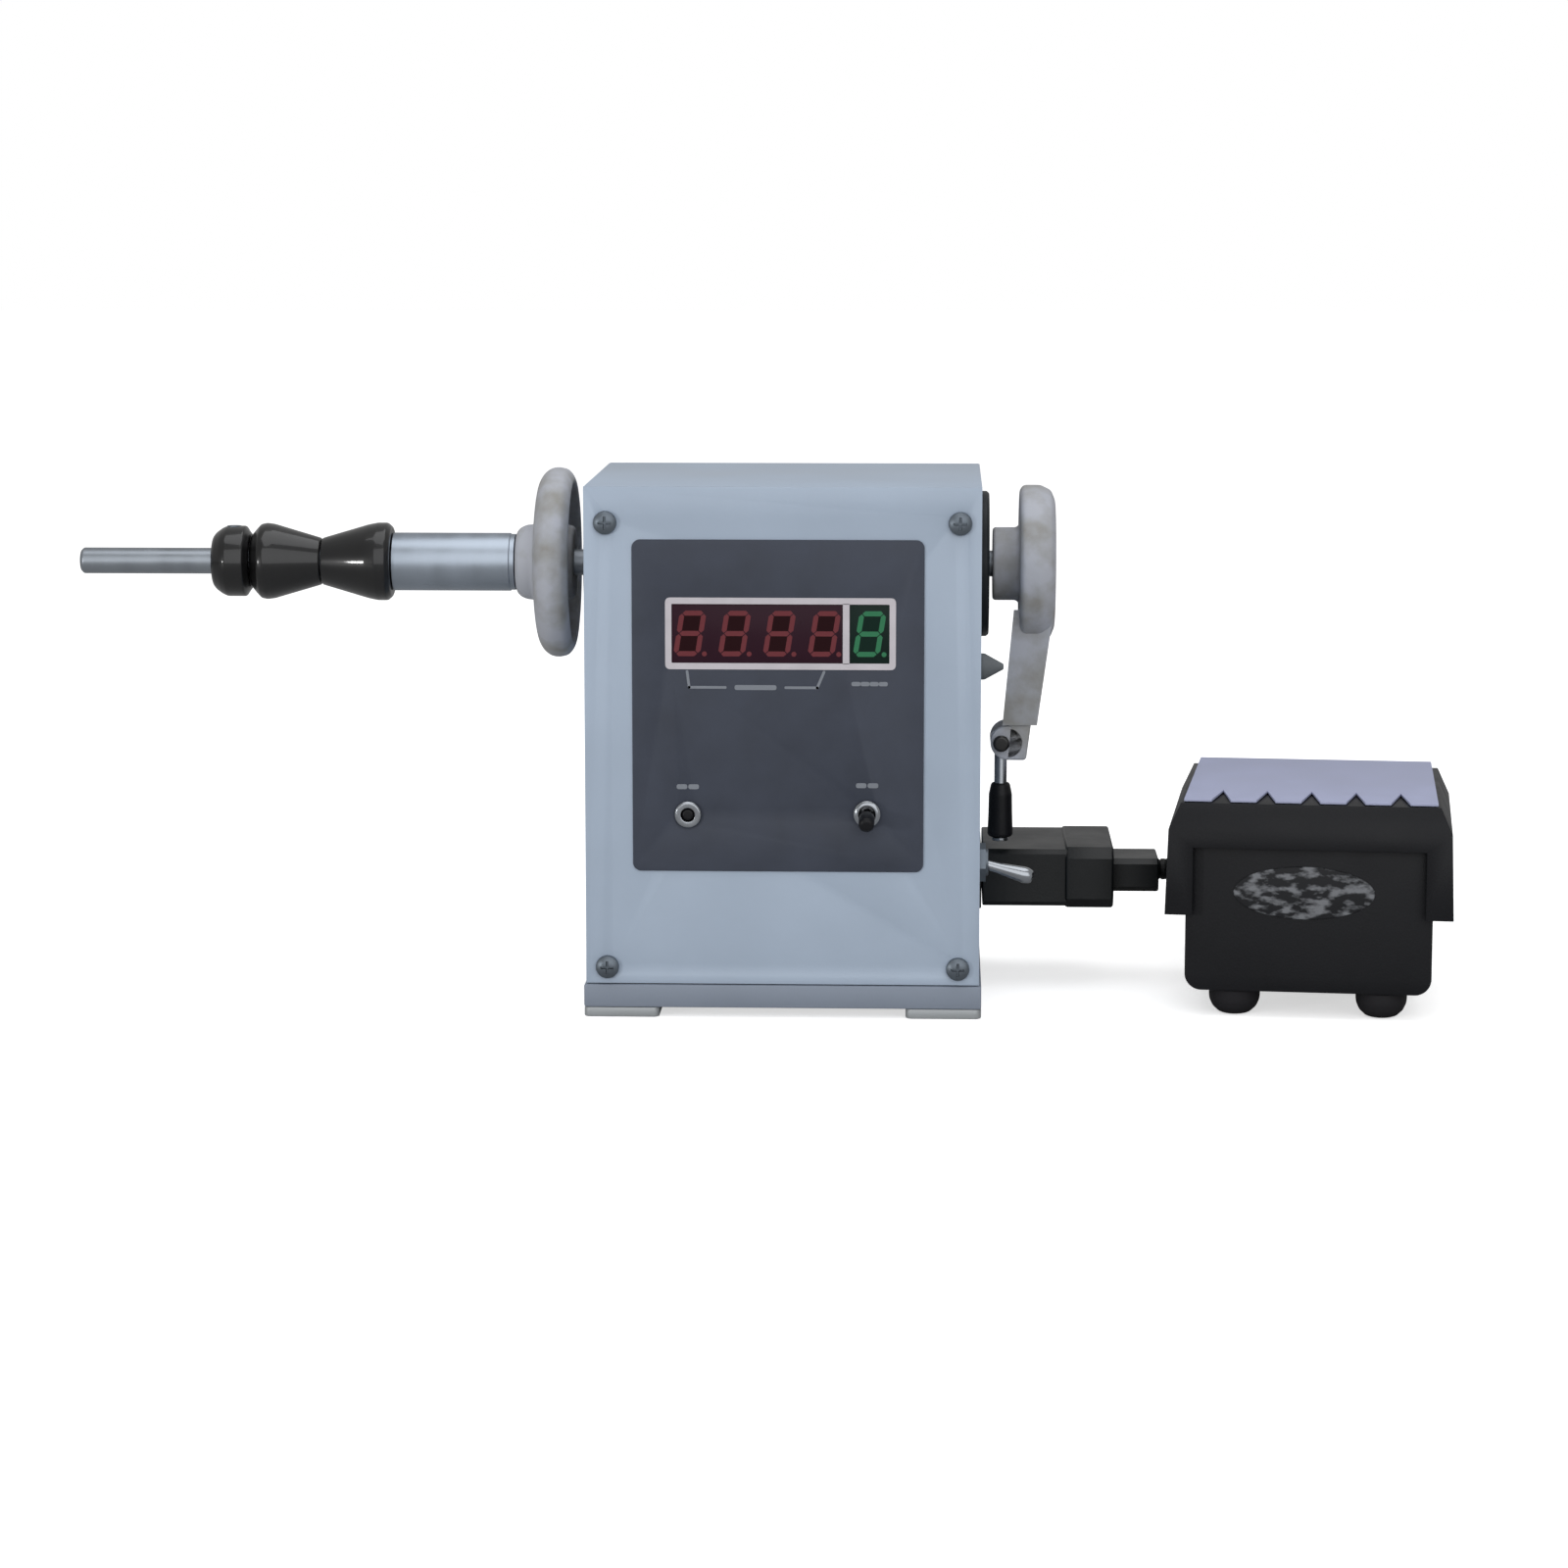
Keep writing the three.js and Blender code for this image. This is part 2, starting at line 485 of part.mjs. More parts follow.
function lockCollar() {
  const { left, right, radius } = COLLAR;
  return onAxle(ring("x", [[left, RUNNING_BORE], [left, radius - 3.3], [left + 0.9, radius - 2.1],
    [left + 2.8, radius - 0.7], [left + 4.4, radius], [right - 1.6, radius], [right - 0.5, radius - 1.7],
    [right, radius - 2.3], [right, RUNNING_BORE]], FACETS.round));
}

// ---- crank -------------------------------------------------------------------------------------
// Cast in one: hub, round head and a tapering arm that leans in towards the case and ends in a fork.
function crankCasting() {
  const { left, right, radius, hubLeft, hubRadius } = HEAD;
  const head = onAxle(turned("x", [[hubLeft, hubRadius - 0.6], [hubLeft + 0.6, hubRadius], [left, hubRadius],
    [left, radius - 1.6], [left + 1.6, radius], [right - 4.5, radius], [right - 1.4, radius - 1.6],
    [right, radius - 5]], FACETS.large));
  const side = polygon([[ARM.endZ, ARM.endIn], [ARM.endZ, ARM.endOut], [ARM.topZ, ARM.topOut],
    [ARM.topZ, ARM.topIn]]);
  const [wide, narrow] = [15, FORK.earWidth];
  const front = new THREE.Shape();
  front.moveTo(-wide, ARM.topZ + 2);
  front.lineTo(-narrow, ARM.endZ + narrow * 0.7);
  front.absarc(0, ARM.endZ + narrow, narrow, 1.08 * Math.PI, 1.92 * Math.PI);
  front.lineTo(wide, ARM.topZ + 2);
  const arm = common(pulled("y", side, -20, FACETS.small), pulled("x", front, 60, 86));
  const ears = common(
    block([FORK.earIn, ARM.endOut - 2], [-FORK.earWidth, FORK.earWidth], [GRIP.z - 6, FORK.earTop]),
    rod("y", 8.4, -FORK.earWidth - 1, FORK.earWidth + 1, FACETS.small).translate(GRIP.x + 4.4, 0, GRIP.z),
  );
  const slot = block([58, 90], [-FORK.slot, FORK.slot], [60, FORK.slotTop]);
  const pinHole = rod("y", GRIP.pin + GAP, -20, 20, FACETS.tiny).translate(GRIP.x, 0, GRIP.z);
  const bore = onAxle(rod("x", RUNNING_BORE, 50, 90));
  return cut(join(head, arm, ears), slot, pinHole, bore);
}

function gripPivotPin() {
  const reach = FORK.earWidth + 1;
  const pin = turned("y", [[-reach - 1.2, 2.2], [-reach - 0.8, 2.6], [-reach, 2.6], [-reach, GRIP.pin],
    [reach, GRIP.pin], [reach, 2.6], [reach + 0.8, 2.6], [reach + 1.2, 2.2]], FACETS.tiny);
  return pin.translate(GRIP.x, 0, GRIP.z);
}

function gripStem() {
  const eye = rod("y", 3.4, -3, 3, FACETS.small).translate(GRIP.x, 0, GRIP.z);
  const stem = turned("z", [[GRIP.stemEnd, 2.6], [GRIP.bottom - GAP, 2.6], [GRIP.bottom - GAP, GRIP.stem],
    [GRIP.z - 1, GRIP.stem]], FACETS.small).translate(GRIP.x, 0, 0);
  return cut(join(eye, stem), rod("y", GRIP.pin + GAP, -5, 5, FACETS.tiny).translate(GRIP.x, 0, GRIP.z));
}

function gripSleeve() {
  const bore = GRIP.stem + GAP;
  const { bottom, top, radius } = GRIP;
  return ring("z", [[bottom, bore], [bottom, radius - 0.8], [bottom + 0.8, radius], [top - 4, radius - 0.3],
    [top - 0.8, radius - 0.9], [top, radius - 1.4], [top, bore]], FACETS.small).translate(GRIP.x, 0, 0);
}

// ---- pedal plug and its socket -----------------------------------------------------------------
function pedalSocket() {
  const flange = block([SIDE, PLUG.left - GAP], [-1, 45], [25, 42]);
  const box = block([SIDE - 13, SIDE + 0.5], [4, 40], [27, 40]);
  return cut(join(flange, box), block([SIDE - 10, SIDE + 3], [8, 36], [29.5, 37.5]));
}

function pedalPlug() {
  const { left, step, right, front, rear, bottom, top } = PLUG;
  const nose = block([SIDE - 9, left + 1], [8.4, 35.6], [29.9, 37.1]);
  const shell = pulled("x", chamferedRectangle(front + 1, rear - 1, bottom + 0.6, top - 0.6, 1.2), left,
    step + 1);
  const hold = pulled("x", chamferedRectangle(front, rear, bottom, top, 3.2), step, right);
  const boot = pulled("x", chamferedRectangle(BOOT.front, BOOT.rear, BOOT.bottom, BOOT.top, 1.6), right - 1,
    BOOT.right);
  return join(nose, shell, hold, boot, leadRelief());
}

// Moulded relief that turns the lead from the boot towards the rear.
function leadRelief() {
  const [x, bend] = [BOOT.right, LEAD.reliefBend];
  const points = [[x - 2, LEAD.y, LEAD.z], [x, LEAD.y, LEAD.z]];
  for (let i = 1; i <= 6; i++) {
    const turn = (Math.PI / 2) * (i / 6);
    points.push([x + bend * Math.sin(turn), LEAD.y + bend * (1 - Math.cos(turn)), LEAD.z]);
  }
  points.push([x + bend, LEAD.y + bend + 4, LEAD.z]);
  return tubeAlong(points, LEAD.reliefRadius, 10, 14);
}

// ---- pedal -------------------------------------------------------------------------------------
// In the pedal's own frame, x runs across it and y from its front edge to its heel.
function pedalTray() {
  const { half, front, rear, bottom, frontTop, rearTop, wall } = TRAY;
  const side = polygon([[front, bottom], [rear, bottom], [rear, rearTop], [front, frontTop]]);
  const face = new THREE.Shape();
  const corner = 5;
  face.absarc(half - corner, bottom + corner, corner, -Math.PI / 2, 0);
  face.lineTo(half, frontTop + 5);
  face.lineTo(-half, frontTop + 5);
  face.absarc(-half + corner, bottom + corner, corner, Math.PI, 1.5 * Math.PI);
  const outer = common(pulled("x", side, -half - 1, half + 1), acrossPedal(face, front - 1, rear + 1));
  const hollow = block([-half + wall, half - wall], [front + wall, rear - wall],
    [bottom + wall, frontTop + 6]);
  const pinHole = rod("x", HINGE.pin + GAP, -half - 2, half + 2, FACETS.tiny).translate(0, HINGE.v, HINGE.z);
  return cut(outer, hollow, pinHole);
}

// Pulls a front-view outline, given as (across, up), along the pedal.
const acrossPedal = (shape, from, to) => pulled("z", shape, -to, -from).rotateX(Math.PI / 2);

function lidOutline(shrink) {
  const { bottomHalf, bevelHalf, topHalf, bevelZ, topZ, frontSkirt } = LID;
  return polygon([[-bottomHalf + shrink, frontSkirt - 5], [bottomHalf - shrink, frontSkirt - 5],
    [bevelHalf - shrink, bevelZ], [topHalf - shrink, topZ + 0.4], [-topHalf + shrink, topZ + 0.4],
    [-bevelHalf + shrink, bevelZ]]);
}

// A hinged cover: its apron hangs in front of the tray, and its wings have lips turned in at the front.
function pedalLid() {
  const { length, frontSkirt, rearSkirt, bevelZ, topZ, rearZ, bevelRun, wall, apronZ } = LID;
  const { mouthHalf, lipHalf, lip } = LID;
  const side = polygon([[0, frontSkirt], [length, rearSkirt], [length, rearZ], [bevelRun, topZ],
    [0, bevelZ]]);
  const outer = common(pulled("x", side, -50, 50), acrossPedal(lidOutline(0), -1, length + 1));
  const under = polygon([[wall, frontSkirt - 20], [length - wall, frontSkirt - 20],
    [length - wall, rearZ - wall], [bevelRun + 1.5, topZ - wall], [wall, bevelZ + 1]]);
  const hollow = common(pulled("x", under, -50, 50), acrossPedal(lidOutline(wall), -1, length + 1));
  const mouth = block([-lipHalf, lipHalf], [-2, wall + 1], [frontSkirt - 10, apronZ]);
  const relief = block([-mouthHalf, mouthHalf], [lip, wall + 1], [frontSkirt - 10, apronZ]);
  const pinHole = rod("x", HINGE.pin + GAP, -50, 50, FACETS.tiny).translate(0, HINGE.v, HINGE.z);
  return cut(outer, hollow, mouth, relief, pinHole);
}

// Light tread plate on the lid, with a row of pointed notches along its front edge.
function pedalTread() {
  const { half, rearHalf, thick, front, rear, notch, notchRun, pitch } = TREAD;
  const plate = new THREE.Shape();
  plate.moveTo(-half, front);
  for (let i = -2; i <= 2; i++) {
    plate.lineTo(i * pitch - notch, front);
    plate.lineTo(i * pitch, front + notchRun);
    plate.lineTo(i * pitch + notch, front);
  }
  plate.lineTo(half, front);
  plate.lineTo(rearHalf, rear);
  plate.lineTo(-rearHalf, rear);
  const slope = Math.atan2(LID.rearZ - LID.topZ, LID.length - LID.bevelRun);
  const body = pulled("z", plate, GAP / 3, thick).translate(0, -LID.bevelRun, 0);
  return body.rotateX(slope).translate(0, LID.bevelRun, LID.topZ + GAP / 3);
}

function rubberPad(u, v) {
  const { radius, height } = PAD;
  const pad = turned("z", [[0, 3.6], [0.5, 5], [2, 6.6], [4, 7.5], [5.4, radius], [height, radius]],
    FACETS.small);
  return pad.translate(u, v, 0);
}

function hingePin() {
  const reach = LID.bevelHalf;
  const pin = turned("x", [[-reach - 0.4, HINGE.pin - 0.4], [-reach, HINGE.pin], [reach, HINGE.pin],
    [reach + 0.4, HINGE.pin - 0.4]], FACETS.tiny);
  return pin.translate(0, HINGE.v, HINGE.z);
}

// Coil spring between the tray's floor and the underside of the lid.
function returnSpring() {
  const { u, v, radius, wire, turns } = SPRING;
  const low = TRAY.bottom + TRAY.wall + wire + 0.2;
  const slope = (LID.topZ - LID.rearZ) / (LID.length - LID.bevelRun);
  const high = LID.topZ - LID.wall - (v + radius - LID.bevelRun) * slope - wire - 0.6;
  const perTurn = 8;
  const points = Array.from({ length: turns * perTurn + 1 }, (_, i) => {
    const turn = (2 * Math.PI * i) / perTurn;
    const up = low + ((high - low) * i) / (turns * perTurn);
    return [u + radius * Math.cos(turn), v + radius * Math.sin(turn), up];
  });
  return tubeAlong(points, wire, 6, turns * perTurn);
}

const strainRelief = () => turned("y", [[TRAY.rear + GAP, 5.4], [TRAY.rear + 2.5, 5.4], [TRAY.rear + 3, 4.6],
  [TRAY.rear + RELIEF.length, LEAD.radius + 0.5]], FACETS.small).translate(RELIEF.u, 0, RELIEF.z);

// ---- lead --------------------------------------------------------------------------------------
// From the plug's relief back and down to the bench, into the coil on its left-hand side.
const PLUG_SIDE_ROUTE = [
  [BOOT.right + LEAD.reliefBend, LEAD.y + LEAD.reliefBend + 4 + GAP, LEAD.z],
  [124, 42, 33], [125.4, 50, 28.5], [128.2, 58, 19.5], [131, 65.5, 10.5], [132.8, 71, 5.6],
];

// From the coil's right-hand side to the pedal's strain relief.
function pedalSideRoute() {
  const yaw = THREE.MathUtils.degToRad(PEDAL.yaw);
  const pivot = new THREE.Vector2();
  const tip = new THREE.Vector2(RELIEF.u, TRAY.rear + RELIEF.length + GAP).rotateAround(pivot, yaw);
  const out = new THREE.Vector2(0, 1).rotateAround(pivot, yaw);
  const [x, y] = [PEDAL.x + tip.x, PEDAL.y + tip.y];
  return [[x, y, RELIEF.z], [x + 6 * out.x, y + 6 * out.y, RELIEF.z - 0.4], [x + 13 * out.x, y + 13 * out.y,
    RELIEF.z - 1.6]];
}

function cordCoil() {
  const { x, y, mean, halfWidth, height } = COIL;
  const [inner, outer, edge] = [mean - halfWidth, mean + halfWidth, 2];
  const bundle = ring("z", [[0, inner + edge], [0, outer - edge], [edge, outer], [height - edge, outer],
    [height, outer - edge], [height, inner + edge], [height - edge, inner], [edge, inner]], FACETS.round);
  return bundle.translate(x, y, 0);
}

// ---- assembly ----------------------------------------------------------------------------------
function addCase(machine) {
  add(machine, "case_base", caseBase(), FINISH.casePaint);
  add(machine, "foot_left", foot(-1), FINISH.casePaint);
  add(machine, "foot_right", foot(1), FINISH.casePaint);
  add(machine, "case_shell", caseShell(), FINISH.casePaint);
  add(machine, "front_panel", frontPanel(), FINISH.casePaint);
  add(machine, "rear_panel", rearPanel(), FINISH.casePaint);
  screwPlaces().forEach(([x, z], i) => add(machine, `front_screw_${i + 1}`, frontScrew(x, z), FINISH.steel));
  add(machine, "mains_inlet", mainsInlet(), FINISH.blackPlastic);
  add(machine, "side_bumper", sideBumper(), FINISH.rubber);
}

function addDisplay(machine) {
  add(machine, "panel_overlay", panelOverlay(), FINISH.overlay);
  add(machine, "red_window", windowPane(RED_WINDOW), FINISH.redLens);
  add(machine, "green_window", windowPane(GREEN_WINDOW), FINISH.greenLens);
  add(machine, "red_digits", digitBlock(RED_WINDOW), FINISH.redLens);
  add(machine, "green_digit", digitBlock(GREEN_WINDOW), FINISH.greenLens);
  add(machine, "display_board", displayBoard(), FINISH.board);
}

function addControls(machine) {
  add(machine, "reset_switch_body", resetSwitchBody(), FINISH.steel);
  add(machine, "reset_button", resetButton(), FINISH.blackPlastic);
  add(machine, "mode_switch_body", modeSwitchBody(), FINISH.steel);
  add(machine, "mode_lever", modeLever(), FINISH.blackPlastic);
  add(machine, "power_switch_body", powerSwitchBody(), FINISH.steel);
  add(machine, "power_lever", powerLever(), FINISH.steel);
}

function addDrive(machine) {
  add(machine, "left_bearing", bearing(-1), FINISH.steel);
  add(machine, "right_bearing", bearing(1), FINISH.blackSteel);
  const largePulley = onAxle(pulley(SPINDLE_PULLEY.x, SPINDLE_PULLEY, RUNNING_BORE));
  add(machine, "spindle_pulley", largePulley, FINISH.blackPlastic);
  add(machine, "motor_shaft", motorShaft(), FINISH.steel);
  add(machine, "drive_belt", driveBelt(), FINISH.rubber);
  add(machine, "motor_can", motorCan(), FINISH.steel);
  add(machine, "motor_bracket", motorBracket(), FINISH.steel);
  add(machine, "transformer", transformer(), FINISH.copper);
  add(machine, "control_board", controlBoard(), FINISH.board);
  add(machine, "count_disc", countDisc(), FINISH.blackPlastic);
  add(machine, "count_sensor", countSensor(), FINISH.blackPlastic);
}

function addSpindle(machine) {
  add(machine, "spindle_shaft", spindleShaft(), FINISH.steel);
  add(machine, "hand_wheel", handWheel(), FINISH.castGrey);
  add(machine, "sleeve_tube", sleeveTube(), FINISH.steel);
  add(machine, "inner_cone", innerCone(), FINISH.blackSteel);
  add(machine, "outer_cone", outerCone(), FINISH.blackSteel);
  add(machine, "lock_collar", lockCollar(), FINISH.blackSteel);
}

function addCrank(machine) {
  add(machine, "crank", crankCasting(), FINISH.castGrey);
  add(machine, "grip_pivot_pin", gripPivotPin(), FINISH.blackSteel);
  add(machine, "grip_stem", gripStem(), FINISH.steel);
  add(machine, "grip", gripSleeve(), FINISH.blackPlastic);
}

function addPedal(pedal) {
  add(pedal, "pedal_tray", pedalTray(), FINISH.blackPlastic);
  add(pedal, "pedal_lid", pedalLid(), FINISH.blackPlastic);
  add(pedal, "pedal_tread", pedalTread(), FINISH.tread);
  const places = [PAD.front, PAD.rear].flatMap((v) => [-PAD.u, PAD.u].map((u) => [u, v]));
  places.forEach(([u, v], i) => add(pedal, `pedal_foot_${i + 1}`, rubberPad(u, v), FINISH.rubber));
  add(pedal, "pedal_hinge_pin", hingePin(), FINISH.steel);
  add(pedal, "pedal_spring", returnSpring(), FINISH.steel);
  add(pedal, "strain_relief", strainRelief(), FINISH.rubber);
}

function addLead(machine) {
  add(machine, "pedal_socket", pedalSocket(), FINISH.blackPlastic);
  add(machine, "plug", pedalPlug(), FINISH.blackPlastic);
  add(machine, "cord_plug_side", tubeAlong(PLUG_SIDE_ROUTE, LEAD.radius, 10, 10), FINISH.cord);
  add(machine, "cord_coil", cordCoil(), FINISH.cord);
  add(machine, "cord_pedal_side", tubeAlong(pedalSideRoute(), LEAD.radius, 10, 3), FINISH.cord);
}

const winder = new THREE.Group();
const machine = new THREE.Group();
machine.position.set(MACHINE.x, MACHINE.y, 0);
winder.add(machine);

const pedal = new THREE.Group();
pedal.position.set(PEDAL.x, PEDAL.y, 0);
pedal.rotation.z = THREE.MathUtils.degToRad(PEDAL.yaw);
machine.add(pedal);

addCase(machine);
addDisplay(machine);
addControls(machine);
addDrive(machine);
addSpindle(machine);
addCrank(machine);
addPedal(pedal);
addLead(machine);

export default winder;
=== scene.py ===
"""Finished look of a bench coil winder with an electronic turn counter, a hand crank and a foot pedal.

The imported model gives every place. Each class below builds one sub-assembly around it, and each finish
is a small frozen dataclass that makes one material. Lengths are in millimetres until a mesh is placed.
"""

from __future__ import annotations

import json
import logging
import math
from collections.abc import Sequence
from dataclasses import dataclass
from enum import Enum
from typing import Any

import bmesh
import bpy
from mathutils import Matrix, Vector


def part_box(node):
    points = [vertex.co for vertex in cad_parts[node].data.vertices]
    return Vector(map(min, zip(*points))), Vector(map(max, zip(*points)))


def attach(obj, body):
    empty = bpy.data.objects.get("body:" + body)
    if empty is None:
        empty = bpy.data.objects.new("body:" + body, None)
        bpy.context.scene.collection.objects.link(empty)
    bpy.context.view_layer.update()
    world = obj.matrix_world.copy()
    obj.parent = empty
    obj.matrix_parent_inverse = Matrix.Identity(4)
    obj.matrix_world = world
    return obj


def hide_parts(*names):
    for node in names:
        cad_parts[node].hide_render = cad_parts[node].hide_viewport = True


LOG = logging.getLogger("coil_winder")
MM = 0.001
LEVEL = 1e-7  # metres: points closer than this are one point, or at one height
WELD = 2e-6  # metres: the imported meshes' loose triangles are joined within this
FLAT = math.radians(0.5)  # faces that bend by less are one face
Point = tuple[float, float]
Place = tuple[float, float, float]


# ---- shapes --------------------------------------------------------------------------------------


class Axis(Enum):
    """Line that a shape built along Z is laid on. FRONT is a face seen from the front of the machine."""

    X = ((0, 0, 1), (1, 0, 0), (0, 1, 0))
    Y = ((0, 1, 0), (0, 0, 1), (1, 0, 0))
    Z = ((1, 0, 0), (0, 1, 0), (0, 0, 1))
    FRONT = ((1, 0, 0), (0, 0, -1), (0, 1, 0))

    def lay(self, shape: bmesh.types.BMesh, centre: Sequence[float]) -> bmesh.types.BMesh:
        """Turns a shape onto this line and moves it to its centre.

        Args:
            shape: The shape, built about the Z axis in metres.
            centre: Where the shape's own zero goes, in millimetres.

        Returns:
            The same shape, in place.
        """
        shape.transform(Matrix.Translation(Vector(centre) * MM) @ Matrix(self.value).to_4x4())
        return shape


def rounded(outline: Sequence[Point], reach: float, steps: int = 4) -> list[Point]:
    """Rounds the corners of an open outline.

    Args:
        outline: Its points.
        reach: How far from a corner its rounding starts.
        steps: How many lines a rounding has.

    Returns:
        The outline with a short curve at every inner point.
    """
    curve: list[Point] = [outline[0]]
    for before, corner, after in zip(outline, outline[1:], outline[2:]):
        middle, back, ahead = Vector(corner), Vector(before), Vector(after)
        cut = min(reach, (back - middle).length * 0.49, (ahead - middle).length * 0.49)
        start = middle + (back - middle).normalized() * cut
        end = middle + (ahead - middle).normalized() * cut
        for step in range(steps + 1):
            share = step / steps
            point = start * (1 - share) ** 2 + middle * (2 * share * (1 - share)) + end * share**2
            curve.append((point.x, point.y))
    curve.append(outline[-1])
    return curve


def rounded_loop(outline: Sequence[Point], reach: float, steps: int = 5) -> list[Point]:
    """Rounds every corner of a closed outline.

    Args:
        outline: Its corners, once each.
        reach: How far from a corner its rounding starts.
        steps: How many lines a rounding has.

    Returns:
        The points of the rounded outline.
    """
    around = [outline[-1], *outline, outline[0]]
    return rounded(around, reach, steps)[1:-1]


def rectangle(left: float, right: float, low: float, high: float) -> list[Point]:
    """Gives the four corners of a rectangle, anticlockwise."""
    return [(left, low), (right, low), (right, high), (left, high)]


def turn(profile: Sequence[Point], axis: Axis, centre: Sequence[float],
         steps: int = 96) -> bmesh.types.BMesh:
    """Spins a profile about an axis, as a lathe does.

    Args:
        profile: Points of (along, radius). It starts and ends on the axis, or where it started.
        axis: The line it spins about.
        centre: The point of that line where along is zero.
        steps: Sides of the turned surface.

    Returns:
        The closed shape.
    """
    shape = bmesh.new()
    points = [shape.verts.new((radius * MM, 0, along * MM)) for along, radius in profile]
    edges = [shape.edges.new(pair) for pair in zip(points, points[1:])]
    bmesh.ops.spin(shape, geom=points + edges, cent=(0, 0, 0), axis=(0, 0, 1), dvec=(0, 0, 0),
                   angle=2 * math.pi, steps=steps, use_merge=True)
    bmesh.ops.remove_doubles(shape, verts=shape.verts, dist=LEVEL)
    bmesh.ops.recalc_face_normals(shape, faces=shape.faces)
    return axis.lay(shape, centre)


def solid_profile(outline: Sequence[Point], reach: float) -> list[Point]:
    """Closes a turned outline on its axis at both ends and rounds its corners."""
    return rounded([(outline[0][0], 0.0), *outline, (outline[-1][0], 0.0)], reach)


def ring_profile(outline: Sequence[Point], reach: float) -> list[Point]:
    """Closes a turned outline on itself and rounds its corners."""
    loop = rounded_loop(outline, reach, 4)
    return [*loop, loop[0]]


def circle(across: float, up: float, steps: int, turned: float = 0.0) -> list[Point]:
    """Gives the points of an ellipse, or of a polygon when the steps are few.

    Args:
        across: Its half width.
        up: Its half height.
        steps: How many points it has.
        turned: The first point's angle in radians.

    Returns:
        The points, anticlockwise.
    """
    angles = (turned + 2 * math.pi * step / steps for step in range(steps))
    return [(across * math.cos(angle), up * math.sin(angle)) for angle in angles]


def round_off(shape: bmesh.types.BMesh, lines: Sequence[bmesh.types.BMEdge], edge: float,
              segments: int = 3) -> None:
    """Rounds some of a shape's edges.

    Args:
        shape: The shape.
        lines: The edges to round.
        edge: Width of the rounding in millimetres.
        segments: Lines across it.
    """
    bmesh.ops.bevel(shape, geom=lines, offset=edge * MM, affect="EDGES", segments=segments, profile=0.5,
                    material=-1)


def thicken(shape: bmesh.types.BMesh, faces: Sequence[bmesh.types.BMFace], depth: float) -> None:
    """Pulls flat faces up along Z into a closed plate.

    Args:
        shape: The shape that holds the faces.
        faces: The faces, all at height zero.
        depth: Thickness in millimetres.
    """
    moved = bmesh.ops.extrude_face_region(shape, geom=faces)["geom"]
    raised = [item for item in moved if isinstance(item, bmesh.types.BMVert)]
    bmesh.ops.translate(shape, verts=raised, vec=(0, 0, depth * MM))
    bmesh.ops.recalc_face_normals(shape, faces=shape.faces)


def pull(outline: Sequence[Point], depth: float, axis: Axis, centre: Sequence[float],
         edge: float = 0.0) -> bmesh.types.BMesh:
    """Pulls a flat outline into a plate.

    Args:
        outline: Corners of (across, up), anticlockwise.
        depth: Thickness along the axis.
        axis: The direction it is pulled in.
        centre: Where the outline's own zero goes.
        edge: Rounding of the rims of both faces.

    Returns:
        The closed plate.
    """
    shape = bmesh.new()
    face = shape.faces.new([shape.verts.new((u * MM, v * MM, 0)) for u, v in outline])
    thicken(shape, [face], depth)
    if edge:
        rims = [line for line in shape.edges if abs(line.verts[0].co.z - line.verts[1].co.z) < LEVEL]
        round_off(shape, rims, edge)
    return axis.lay(shape, centre)


def frame_ring(outer: Sequence[Point], inner: Sequence[Point], depth: float, axis: Axis,
               centre: Sequence[float]) -> bmesh.types.BMesh:
    """Makes a flat ring between two outlines.

    Args:
        outer: The outer outline.
        inner: The inner one, with as many points.
        depth: Thickness along the axis.
        axis: The direction it is pulled in.
        centre: Where the outlines' own zero goes.

    Returns:
        The closed ring.
    """
    shape = bmesh.new()
    loops = []
    for outline in (outer, inner):
        points = [shape.verts.new((u * MM, v * MM, 0)) for u, v in outline]
        loops += [shape.edges.new((a, b)) for a, b in zip(points, points[1:] + points[:1])]
    thicken(shape, bmesh.ops.bridge_loops(shape, edges=loops)["faces"], depth)
    return axis.lay(shape, centre)


def slab(low: Sequence[float], high: Sequence[float], edge: float,
         segments: int = 3) -> bmesh.types.BMesh:
    """Makes a block with rounded edges.

    Args:
        low: Its lowest corner.
        high: Its highest corner.
        edge: Width of the rounding.
        segments: Lines across it.

    Returns:
        The block.
    """
    shape = bmesh.new()
    size = Vector(high) - Vector(low)
    bmesh.ops.create_cube(shape, size=1.0)
    bmesh.ops.scale(shape, vec=size * MM, verts=shape.verts)
    bmesh.ops.translate(shape, vec=(Vector(low) + Vector(high)) * MM / 2, verts=shape.verts)
    round_off(shape, shape.edges[:], edge, segments)
    return shape


def softened(node: str, edge: float, segments: int = 2, crease: float = 30.0) -> bmesh.types.BMesh:
    """Copies a node's shape and rounds its sharp edges.

    Args:
        node: The node's name.
        edge: Width of the rounding.
        segments: Lines across a rounding.
        crease: Edges that bend by more than this many degrees are rounded.

    Returns:
        The copy, with its flat faces joined.
    """
    shape = bmesh.new()
    shape.from_mesh(bpy.data.objects[node].data)
    bmesh.ops.remove_doubles(shape, verts=shape.verts, dist=WELD)
    bmesh.ops.dissolve_limit(shape, angle_limit=FLAT, verts=shape.verts, edges=shape.edges)
    sharp = [line for line in shape.edges if line.calc_face_angle(0.0) > math.radians(crease)]
    bmesh.ops.bevel(shape, geom=sharp, offset=edge * MM, affect="EDGES", segments=segments, profile=0.5,
                    material=-1, clamp_overlap=True)
    return shape


def join(shapes: Sequence[bmesh.types.BMesh]) -> bmesh.types.BMesh:
    """Puts several shapes into one mesh.

    Args:
        shapes: The shapes. They are freed.

    Returns:
        One shape that holds them all.
    """
    whole = bmesh.new()
    for shape in shapes:
        part = bpy.data.meshes.new("part")
        shape.to_mesh(part)
        shape.free()
        whole.from_mesh(part)
        bpy.data.meshes.remove(part)
    return whole


